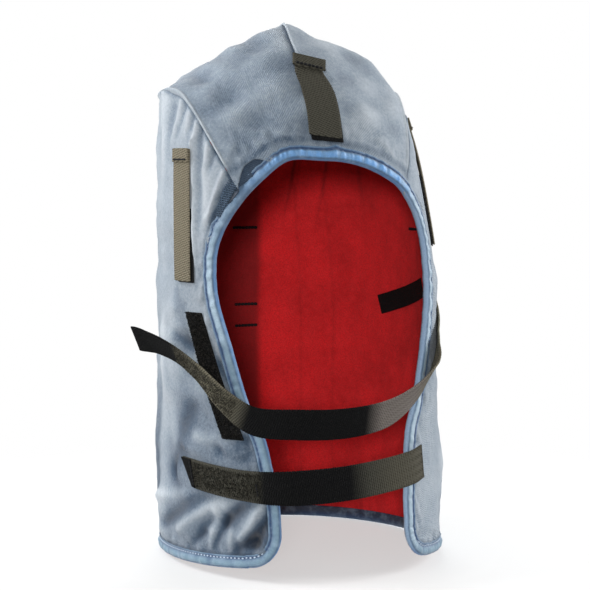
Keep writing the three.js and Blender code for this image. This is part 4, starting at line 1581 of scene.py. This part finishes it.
def spline(centres, t):
    count = len(centres)
    padded = np.concatenate([[2 * centres[0] - centres[1]], centres, [2 * centres[-1] - centres[-2]]])
    place = np.clip(np.asarray(t) * (count - 1), 0, count - 1 - TINY)
    i = place.astype(int)
    local = (place - i)[:, None]
    p0, p1, p2, p3 = (padded[i + k] for k in range(4))
    gaps = (p1 - p0, p2 - p1, p3 - p2)
    d0, d1, d2 = ((gap**2).sum(-1, keepdims=True) ** KNOT_POWER for gap in gaps)
    m1 = ((p1 - p0) / d0 - (p2 - p0) / (d0 + d1) + (p2 - p1) / d1) * d1
    m2 = ((p2 - p1) / d1 - (p3 - p1) / (d1 + d2) + (p3 - p2) / d2) * d1
    return cubic(local, p1, p2, m1, m2)


def turned_about(vectors, axes, degrees):
    angle = np.radians(degrees)[:, None]
    dot = (vectors * axes).sum(-1, keepdims=True)
    along = axes * dot * (1 - np.cos(angle))
    return vectors * np.cos(angle) + np.cross(axes, vectors) * np.sin(angle) + along


def tape_frames(centres, directions, tilts, t):
    rows = np.linspace(0, 1, len(centres))
    centre = spline(centres, t)
    before, after = (spline(centres, np.clip(t + step, 0, 1)) for step in (-TAPE_STEP, TAPE_STEP))
    along = unit(after - before)
    out = along_line(directions, rows, t)
    side = turned_about(unit(np.cross(along, out)), along, np.interp(t, rows, tilts))
    return centre, along, side, unit(np.cross(side, along))


def strap_frames(rows, t):
    plain = drape_plain(rows["angle"], rows["height"])
    return tape_frames(stacked(plain, rows["lift"]), outward(plain), rows["tilt"], t)


def ridge_frames(rows, t):
    plain = ridge_front(rows["ridge"])
    centres = stacked(plain, rows["lift"])
    centres[:, 0] += rows["shift"]
    return tape_frames(centres, outward(plain), np.zeros(len(centres)), t)


# A woven tape: cross ribs, firm scalloped edges, and ends that may be cut at a slant
RIB_PITCH = 1.7
RIB_HEIGHT = 0.1
TAPE_COLUMNS = 16
SELVEDGE_WIDTH = 1.4
SELVEDGE_RISE = 0.16
SELVEDGE_UNDER = 0.08
SCALLOP = 0.35
OUTERMOST = 0.49


def tape_layers(frames, width, thickness, base=0.0, slant=0.0):
    centre, along, side, out = (part[:, None] for part in frames)
    run = run_along(frames[0])
    rib = np.sin(2 * math.pi * run / RIB_PITCH)[:, None]
    across = np.linspace(-0.5, 0.5, TAPE_COLUMNS + 1)[None, :]
    width = np.broadcast_to(width, run.shape)[:, None]
    selvedge = mark((0.5 - np.abs(across)) * width, 1, SELVEDGE_WIDTH)
    offset = across * (width + SCALLOP * rib * (np.abs(across) > OUTERMOST))
    middle = centre + side * offset[..., None] + along * (slant * offset)[..., None]
    outer = middle + out * (base + thickness + RIB_HEIGHT * rib + SELVEDGE_RISE * selvedge)[..., None]
    inner = middle + out * (base - SELVEDGE_UNDER * selvedge)[..., None]
    uv = np.stack(np.broadcast_arrays(offset, run[:, None]), axis=-1)
    return outer, inner, uv


# An end cut at a slant: the far edge is drawn in along the tape, from the start share to the end share
def slanted(layers, frames, t, reach, start, end):
    outer, inner, uv = layers
    trim = smooth(start, end, t)[:, None] * np.linspace(0, reach, outer.shape[1])[None, :]
    pull = frames[1][:, None] * trim[..., None]
    return outer - pull, inner - pull, uv


# A tape or patch in one tint, or in tints along it; some stand for a solid
def tape(name, layers, tint, material, node=None):
    outer, inner, uv = layers
    piece = cloth(name, outer, inner, uv, tint, bulge=ROUND_RIM)
    if node:
        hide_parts(node)
    return finished(piece, material)


# Tints along a tape, by the share of its length
def tints_along(stops, t):
    shares, tints = zip(*stops)
    return along_line(np.array(tints), shares, t)[:, None]


# Loop pile: many small arched fibres standing on the outer face of a strip
LOOP_STEPS = 5
LOOP_SIDES = 3
LOOP_REACH = (0.45, 0.85)
LOOP_HEIGHT = (0.5, 1.0)
LOOP_RADIUS = 0.2
LOOP_SINK = 0.1
LAST_CELL = 1.001


def loop_pile(name, outer, inner, pile):
    count, seed, dark, light = pile
    chance = np.random.default_rng(seed)
    rows, columns = outer.shape[:2]
    row = chance.uniform(0, rows - LAST_CELL, count)
    column = chance.uniform(0, columns - LAST_CELL, count)
    i, j = row.astype(int), column.astype(int)
    a, b = (row - i)[:, None], (column - j)[:, None]

    def spot(grid):
        return mix(mix(grid[i, j], grid[i + 1, j], a), mix(grid[i, j + 1], grid[i + 1, j + 1], a), b)

    foot = spot(outer)
    up = unit(foot - spot(inner))
    lean = unit(np.cross(up, chance.normal(size=(count, 3))))
    side = np.cross(up, lean)
    reach = chance.uniform(*LOOP_REACH, count)[:, None]
    tall = chance.uniform(*LOOP_HEIGHT, count)[:, None]
    rings = []
    for turn in np.linspace(0, math.pi, LOOP_STEPS):
        middle = foot - lean * reach * math.cos(turn) + up * (tall * math.sin(turn) - LOOP_SINK)
        outwards = unit(up * math.sin(turn) - lean * math.cos(turn))
        for angle in np.linspace(0, 2 * math.pi, LOOP_SIDES, endpoint=False):
            rings.append(middle + (outwards * math.cos(angle) + side * math.sin(angle)) * LOOP_RADIUS)
    vertices = np.stack(rings, axis=1).reshape(-1, 3)
    faces = tube_faces(count, LOOP_STEPS, LOOP_SIDES)
    tint = mix(dark, light, chance.uniform(0, 1, (count, 1)) ** 2)
    piece = new_object(name, vertices, faces, tint=np.repeat(tint, LOOP_STEPS * LOOP_SIDES, axis=0))
    finished(piece, PILE)


# Straps: tints by share of the length, ends as pull, start and end share, and piles as rows of the strap,
# number of loops, seed and the darkest and lightest fibre
STRAP_STEPS = 640
# On the mouth strap, the pale brown near its start, on the right side, is painted light
MOUTH_TINTS = [
    (0, BROWN), (0.06, PALE_BROWN), (0.3, PALE_BROWN), (0.36, GREY), (0.44, GREY), (0.47, BLACK),
    (0.655, BLACK), (0.68, BROWN), (0.77, PALE_BROWN), (0.82, BROWN), (0.86, BLACK), (1, BLACK),
]
MOUTH_END = (5, 0.9, 1)
MOUTH_PILE_ROWS = slice(440, 545)
MOUTH_PILE = (1050, 61, tint_of(48, 46, 39), tint_of(136, 131, 113))
MOUTH_SEWN_ROWS = (8, 44)
CHIN_TINTS = [
    (0, OLIVE), (0.34, OLIVE), (0.38, BLACK), (0.66, BLACK), (0.72, OLIVE), (0.8, BROWN), (1, BROWN),
]
CHIN_END = (-14, 0.1, 0)
CHIN_PILE_ROWS = slice(36, 235)
CHIN_PILE = (1300, 62, tint_of(26, 26, 23), tint_of(112, 108, 94))
CHIN_WIDTHS = table("share width", [(0, 19.5), (0.3, 21), (0.5, 24), (1, 24)])
CHIN_HEM = 11.0
CHIN_HEM_INSET = 0.6
CHIN_HEM_THICKNESS = 1.0
CHIN_SEWN_ROW = 4
CHIN_LAST_ROW = STRAP_STEPS - 9
CHIN_TACK = 222
CHIN_TACK_COLUMN = 6
CHIN_TACK_POINTS = 8
CHIN_TACK_LIFT = 0.6
FOLD_BASE = WEBBING_THICKNESS + 0.3


def strap(node, rows, width, end, tints, pile_rows, pile):
    t = np.linspace(0, 1, STRAP_STEPS)
    frames = strap_frames(rows, t)
    outer, inner, uv = slanted(tape_layers(frames, width, WEBBING_THICKNESS), frames, t, *end)
    piece = tape(f"{node}_webbing", (outer, inner, uv), tints_along(tints, t), WEBBING, node)
    length = float(np.ptp(uv[..., 1]))
    loop_pile(f"{node}_pile", outer[pile_rows, 1:-1], inner[pile_rows, 1:-1], pile)
    return frames, outer, length


# A row of dark stitches across a tape
def cross_stitches(name, outer, frames, row, size, lift=0.0):
    out = frames[3][row]
    line = outer[row, 1:-1] + lift * out
    stitch_row(name, line, np.tile(out, (len(line), 1)), DARK_THREAD, size)


def build_mouth_strap():
    frames, outer, _ = strap(
        "mouth_strap", MOUTH_STRAP, TAPE_WIDTH, MOUTH_END, MOUTH_TINTS, MOUTH_PILE_ROWS, MOUTH_PILE
    )
    for number, row in enumerate(MOUTH_SEWN_ROWS):
        cross_stitches(f"mouth_strap_stitches_{number}", outer, frames, row, MOUTH_STITCH)


def build_chin_strap():
    t = np.linspace(0, 1, STRAP_STEPS)
    width = np.interp(t, CHIN_WIDTHS["share"], CHIN_WIDTHS["width"])
    frames, outer, length = strap(
        "chin_strap", CHIN_STRAP, width, CHIN_END, CHIN_TINTS, CHIN_PILE_ROWS, CHIN_PILE
    )
    hem = int(STRAP_STEPS * CHIN_HEM / length)
    fold_frames = tuple(part[:hem] for part in frames)
    fold = tape_layers(fold_frames, width[:hem] - CHIN_HEM_INSET, CHIN_HEM_THICKNESS, FOLD_BASE)
    fold = slanted(fold, fold_frames, t[:hem], *CHIN_END)
    tape("chin_strap_hem", fold, BLACK, WEBBING)
    for place, row in (("inner", hem - CHIN_SEWN_ROW), ("outer", CHIN_SEWN_ROW)):
        cross_stitches(f"chin_hem_stitches_{place}", fold[0], frames, row, CHIN_HEM_STITCH)
    step = np.arange(CHIN_TACK_POINTS)
    out = frames[3][CHIN_TACK]
    tack = outer[CHIN_TACK + step, CHIN_TACK_COLUMN + step] + CHIN_TACK_LIFT * out
    normal = np.tile(out, (CHIN_TACK_POINTS, 1))
    stitch_row("chin_strap_tack", tack, normal, DARK_THREAD, CHIN_TACK_STITCH)
    cross_stitches("chin_end_stitches", outer, frames, CHIN_LAST_ROW, CHIN_END_STITCH)


# The brow tab narrows under its folded head and is cut at a slant
TAB_STEPS = 150
TAB_PATCH_STEPS = 60
TAB_WIDTHS = table("share width", [(0, 22.5), (0.1, 22), (0.2, 19.5), (0.34, 21), (0.55, 23.5), (1, 23.5)])
TAB_SLANT = -0.16
TAB_HEAD = 0.2
TAB_HEAD_EXTRA = 0.5
TAB_HEAD_THICKNESS = 1.5
TAB_SEWN_ROW = 4
TAB_STITCH_LIFT = 0.4
TAB_PATCH_WIDTH = TAPE_WIDTH - 1


def build_front_tab():
    t = np.linspace(0, 1, TAB_STEPS)
    frames = ridge_frames(FRONT_TAB, t)
    width = np.interp(t, TAB_WIDTHS["share"], TAB_WIDTHS["width"])
    layers = tape_layers(frames, width, WEBBING_THICKNESS, slant=TAB_SLANT)
    tape("front_tab_webbing", layers, TAB_OLIVE, WEBBING, "front_tab")
    head = int(TAB_HEAD * TAB_STEPS)
    head_frames = tuple(part[:head] for part in frames)
    fold = tape_layers(head_frames, width[0] + TAB_HEAD_EXTRA, TAB_HEAD_THICKNESS, FOLD_BASE, TAB_SLANT)
    tape("front_tab_head", fold, TAB_OLIVE, WEBBING)
    row = head - TAB_SEWN_ROW
    cross_stitches("front_tab_stitches", fold[0], frames, row, FRONT_TAB_STITCH, TAB_STITCH_LIFT)
    patch_frames = ridge_frames(FRONT_PATCH, np.linspace(0, 1, TAB_PATCH_STEPS))
    patch = tape_layers(patch_frames, TAB_PATCH_WIDTH, PATCH_THICKNESS, slant=TAB_SLANT)
    tape("front_tab_hooks", patch, BLACK, HOOK, "front_tab_patch")


# Strips that lie on the panel, or on the lining, and follow it; the ends of a level one are cut level
def panel_layers(rows, width, base, thickness, steps=80, columns=12, ribs=0.0, level=False):
    t = np.linspace(0, 1, steps)
    shares = np.linspace(0, 1, len(rows["angle"]))
    angle, height = (np.interp(t, shares, rows[key])[:, None] for key in ("angle", "height"))
    degree = degree_length(np.abs(angle), height, np.sign(angle))
    run = np.gradient(angle, axis=0) * degree
    fall = np.gradient(height, axis=0)
    length = np.hypot(run, fall)
    along = np.cumsum(length, axis=0)
    across = np.linspace(-0.5, 0.5, columns + 1)[None, :] * width
    strip_angle = angle - across * (length / fall if level else fall / length) / degree
    strip_height = height + across * (0 if level else run / length)
    top = base + thickness + ribs * np.sin(2 * math.pi * along / RIB_PITCH) + 0 * across
    outer = drape_point(strip_angle, strip_height, top)
    inner = drape_point(strip_angle, strip_height, base)
    return outer, inner, np.stack(np.broadcast_arrays(across, along), axis=-1)


def upright(angle, top, bottom):
    return {"angle": np.array([angle, angle], float), "height": np.array([top, bottom], float)}


def panel_stitches(name, layers, row, size, lift=0.0):
    out = (layers[0] - layers[1])[row, 1:-1]
    stitch_row(name, layers[0][row, 1:-1] + lift * out, out, DARK_THREAD, size)


SIDE_TABS = (("left", -67.5, -94.0, -189.5), ("right", 72.5, -70.0, -166.0))
PATCH_TURN = 1.3
PATCH_START = 0.45
PATCH_PAST = 1.0
PATCH_BASE = 0.4
PANEL_RIBS = 0.08
TAB_BASE = 1.8
TAB_FOLD = 9.0
TAB_FOLD_INSET = 0.4
TAB_FOLD_THICKNESS = 1.0
TAB_FOLD_ROW = -7
TAB_FOLD_LIFT = 0.3


def build_side_tab(hand, angle, top, bottom):
    node = f"side_tab_{hand}"
    patch_angle = angle - PATCH_TURN * math.copysign(1, angle)
    patch_rows = upright(patch_angle, mix(top, bottom, PATCH_START), bottom - PATCH_PAST)
    patch = panel_layers(patch_rows, SIDE_TAB_WIDTH, PATCH_BASE, PATCH_THICKNESS)
    tape(f"{node}_hooks", patch, BLACK, HOOK, f"{node}_patch")
    rows = upright(angle, top, bottom)
    layers = panel_layers(rows, SIDE_TAB_WIDTH, TAB_BASE, WEBBING_THICKNESS, steps=240, ribs=PANEL_RIBS)
    tape(f"{node}_webbing", layers, TAN, WEBBING, node)
    rows = upright(angle, top, top - TAB_FOLD)
    width = SIDE_TAB_WIDTH - TAB_FOLD_INSET
    base = TAB_BASE + FOLD_BASE
    fold = panel_layers(rows, width, base, TAB_FOLD_THICKNESS, steps=40, ribs=PANEL_RIBS)
    tape(f"{node}_head", fold, TAN, WEBBING)
    panel_stitches(f"{node}_stitches", fold, TAB_FOLD_ROW, SIDE_TAB_STITCH, TAB_FOLD_LIFT)


REAR_TAB = upright(180.0, -150.0, -236.0)
REAR_TAB_BASE = 0.5
REAR_TAB_SEWN = (("top", 16), ("bottom", -16))


def build_rear_tab():
    layers = panel_layers(
        REAR_TAB, TAPE_WIDTH, REAR_TAB_BASE, WEBBING_THICKNESS, steps=200, ribs=PANEL_RIBS
    )
    tape("rear_tab_webbing", layers, OLIVE, WEBBING, "rear_tab")
    for place, row in REAR_TAB_SEWN:
        panel_stitches(f"rear_tab_stitches_{place}", layers, row, REAR_TAB_STITCH)


CHEEK_PATCH = table("angle height", [(-62, -213), (-53, -258), (-43.4, -303)])
CHEEK_PILE = (1900, 63, tint_of(2, 2, 3), tint_of(84, 81, 75))
INNER_PATCH = table("angle height", [(86, -202), (102, -211), (119, -220)])
INNER_PATCH_BASE = -LINING_INNER - 2.4
TUCK_STRIP = table("angle height", [(-41.6, -115.4), (-44.2, -124), (-47.4, -135), (-48.8, -142)])
TUCK_STRIP_STEPS = 160
TUCK_STRIP_WIDTHS = np.linspace(10, 3, TUCK_STRIP_STEPS)[:, None]
TUCK_STRIP_BASE = -1.7
TUCK_STRIP_THICKNESS = 1.2
TUCK_STRIP_COLUMNS = 8
TUCK_STRIP_RIBS = 0.35


def build_patches():
    layers = panel_layers(CHEEK_PATCH, CHEEK_PATCH_WIDTH, PATCH_BASE, PATCH_THICKNESS, level=True)
    tape("cheek_patch_backing", layers, BLACK, HOOK, "cheek_patch")
    loop_pile("cheek_patch_pile", layers[0], layers[1], CHEEK_PILE)
    layers = panel_layers(INNER_PATCH, INNER_PATCH_WIDTH, INNER_PATCH_BASE, PATCH_THICKNESS)
    tape("inner_patch_hooks", layers, BLACK, HOOK, "inner_patch")
    layers = panel_layers(
        TUCK_STRIP, TUCK_STRIP_WIDTHS, TUCK_STRIP_BASE, TUCK_STRIP_THICKNESS,
        TUCK_STRIP_STEPS, TUCK_STRIP_COLUMNS, TUCK_STRIP_RIBS,
    )
    tape("tuck_strip", layers, STRIP, WEBBING)


# Rows of dark stitches that show inside the lining, behind the rear and side tabs
LINING_ROWS_SEWN = table("angle0 angle1 height", [
    (189, 177, -157.5),
    (189, 178, -222),
    (189, 178, -240),
    (96, 88, -156),
])
LINING_ROW_POINTS = 20


def build_lining_stitches():
    for number, (angle0, angle1, height) in enumerate(zip(*LINING_ROWS_SEWN.values())):
        angle = np.linspace(angle0, angle1, LINING_ROW_POINTS)
        angle = np.where(angle > 180, angle - 360, angle)
        level = np.full_like(angle, height)
        depth = lining_form(angle, level)[1]
        line = drape_point(angle, level, depth)
        inward = drape_point(angle, level, depth - 1) - line
        stitch_row(f"lining_stitches_{number}", line, inward, DARK_THREAD, LINING_STITCH)


# The studio: a pale floor that fades into a white surround, and soft lights
FLOOR_RADIUS = 1.6
FLOOR_SIDES = 96
FLOOR_COLOUR = (0.92, 0.92, 0.92, 1)
FLOOR_ROUGHNESS = 0.9
FLOOR_FADE = (0.16, 0.5)
FLOOR_SOLID = 0.48
FLOOR_CLEARANCE = 0.0005


def build_floor():
    mesh = bpy.data.meshes.new("floor")
    level = cad_box[0][2] - FLOOR_CLEARANCE
    turn = np.linspace(0, 2 * math.pi, FLOOR_SIDES, endpoint=False)
    rim = [(FLOOR_RADIUS * math.cos(a), FLOOR_RADIUS * math.sin(a), level) for a in turn]
    mesh.from_pydata(rim, [], [list(range(len(rim)))])
    floor = bpy.data.objects.new("floor", mesh)
    bpy.context.scene.collection.objects.link(floor)
    shade = Shader("floor")
    flat = shade.node("ShaderNodeVectorMath", shade.place(), (1, 1, 0), operation="MULTIPLY").outputs[0]
    reach = shade.node("ShaderNodeVectorMath", flat, operation="LENGTH").outputs["Value"]
    solid = shade.span(reach, FLOOR_FADE[1], FLOOR_FADE[0], 0.0, FLOOR_SOLID)
    mesh.materials.append(shade.set(Base_Color=FLOOR_COLOUR, Roughness=FLOOR_ROUGHNESS, Alpha=solid))


def aim(thing, target):
    thing.rotation_euler = (Vector(target) - thing.location).to_track_quat("-Z", "Y").to_euler()


def spherical(azimuth, elevation, distance):
    a = math.radians(azimuth)
    e = math.radians(elevation)
    return Vector((math.sin(a) * math.cos(e), -math.cos(a) * math.cos(e), math.sin(e))) * distance


# Name, azimuth, elevation, distance, size and power
LIGHTS = (
    ("key", -21.0, 8.0, 3.2, 0.45, 45.0),
    ("left_panel", -104.0, 36.0, 0.9, 0.5, 6.0),
    ("low_left", -96.0, 0.0, 1.1, 0.16, 3.2),
    ("right_panel", 84.0, 18.0, 1.2, 0.7, 14.0),
    ("overhead", -60.0, 70.0, 1.9, 1.2, 4.0),
    ("back_panel", 165.0, 30.0, 2.2, 1.2, 20.0),
)
SURROUND_LIGHT = 0.22


def build_lights():
    middle = Vector(VIEW_TARGET) * MM
    for name, azimuth, elevation, distance, size, power in LIGHTS:
        light = bpy.data.lights.new(name, "AREA")
        light.shape = "DISK"
        light.size = size
        light.energy = power
        lamp = bpy.data.objects.new(name, light)
        lamp.location = middle + spherical(azimuth, elevation, distance)
        aim(lamp, middle)
        lamp.visible_camera = False
        bpy.context.scene.collection.objects.link(lamp)
    world = bpy.data.worlds.new("surround")
    world.use_nodes = True
    tree = world.node_tree
    seen = tree.nodes.new("ShaderNodeMapRange")
    tree.links.new(tree.nodes.new("ShaderNodeLightPath").outputs["Is Camera Ray"], seen.inputs[0])
    seen.inputs[3].default_value = SURROUND_LIGHT
    tree.nodes["Background"].inputs[0].default_value = (1, 1, 1, 1)
    tree.links.new(seen.outputs[0], tree.nodes["Background"].inputs[1])
    bpy.context.scene.world = world
    bpy.context.scene.view_settings.view_transform = "Standard"


def build_camera():
    lens = bpy.data.cameras.new("camera")
    lens.sensor_width = SENSOR
    lens.lens = SENSOR * VIEW_DISTANCE / (FRAME_PIXELS * MILLIMETRES_PER_PIXEL)
    camera = bpy.data.objects.new("camera", lens)
    target = Vector(VIEW_TARGET) * MM
    camera.location = target + spherical(VIEW_AZIMUTH, VIEW_ELEVATION, VIEW_DISTANCE * MM)
    aim(camera, target)
    bpy.context.scene.collection.objects.link(camera)
    bpy.context.scene.camera = camera


build_camera()
build_lights()
build_floor()
build_crown_lining()
build_drape_lining()
build_crown_half(-1)
build_crown_half(1)
build_drape()
build_binding()
build_binding_stitches()
build_shade_strip()
build_mouth_strap()
build_chin_strap()
build_front_tab()
for side_tab in SIDE_TABS:
    build_side_tab(*side_tab)
build_rear_tab()
build_patches()
build_lining_stitches()
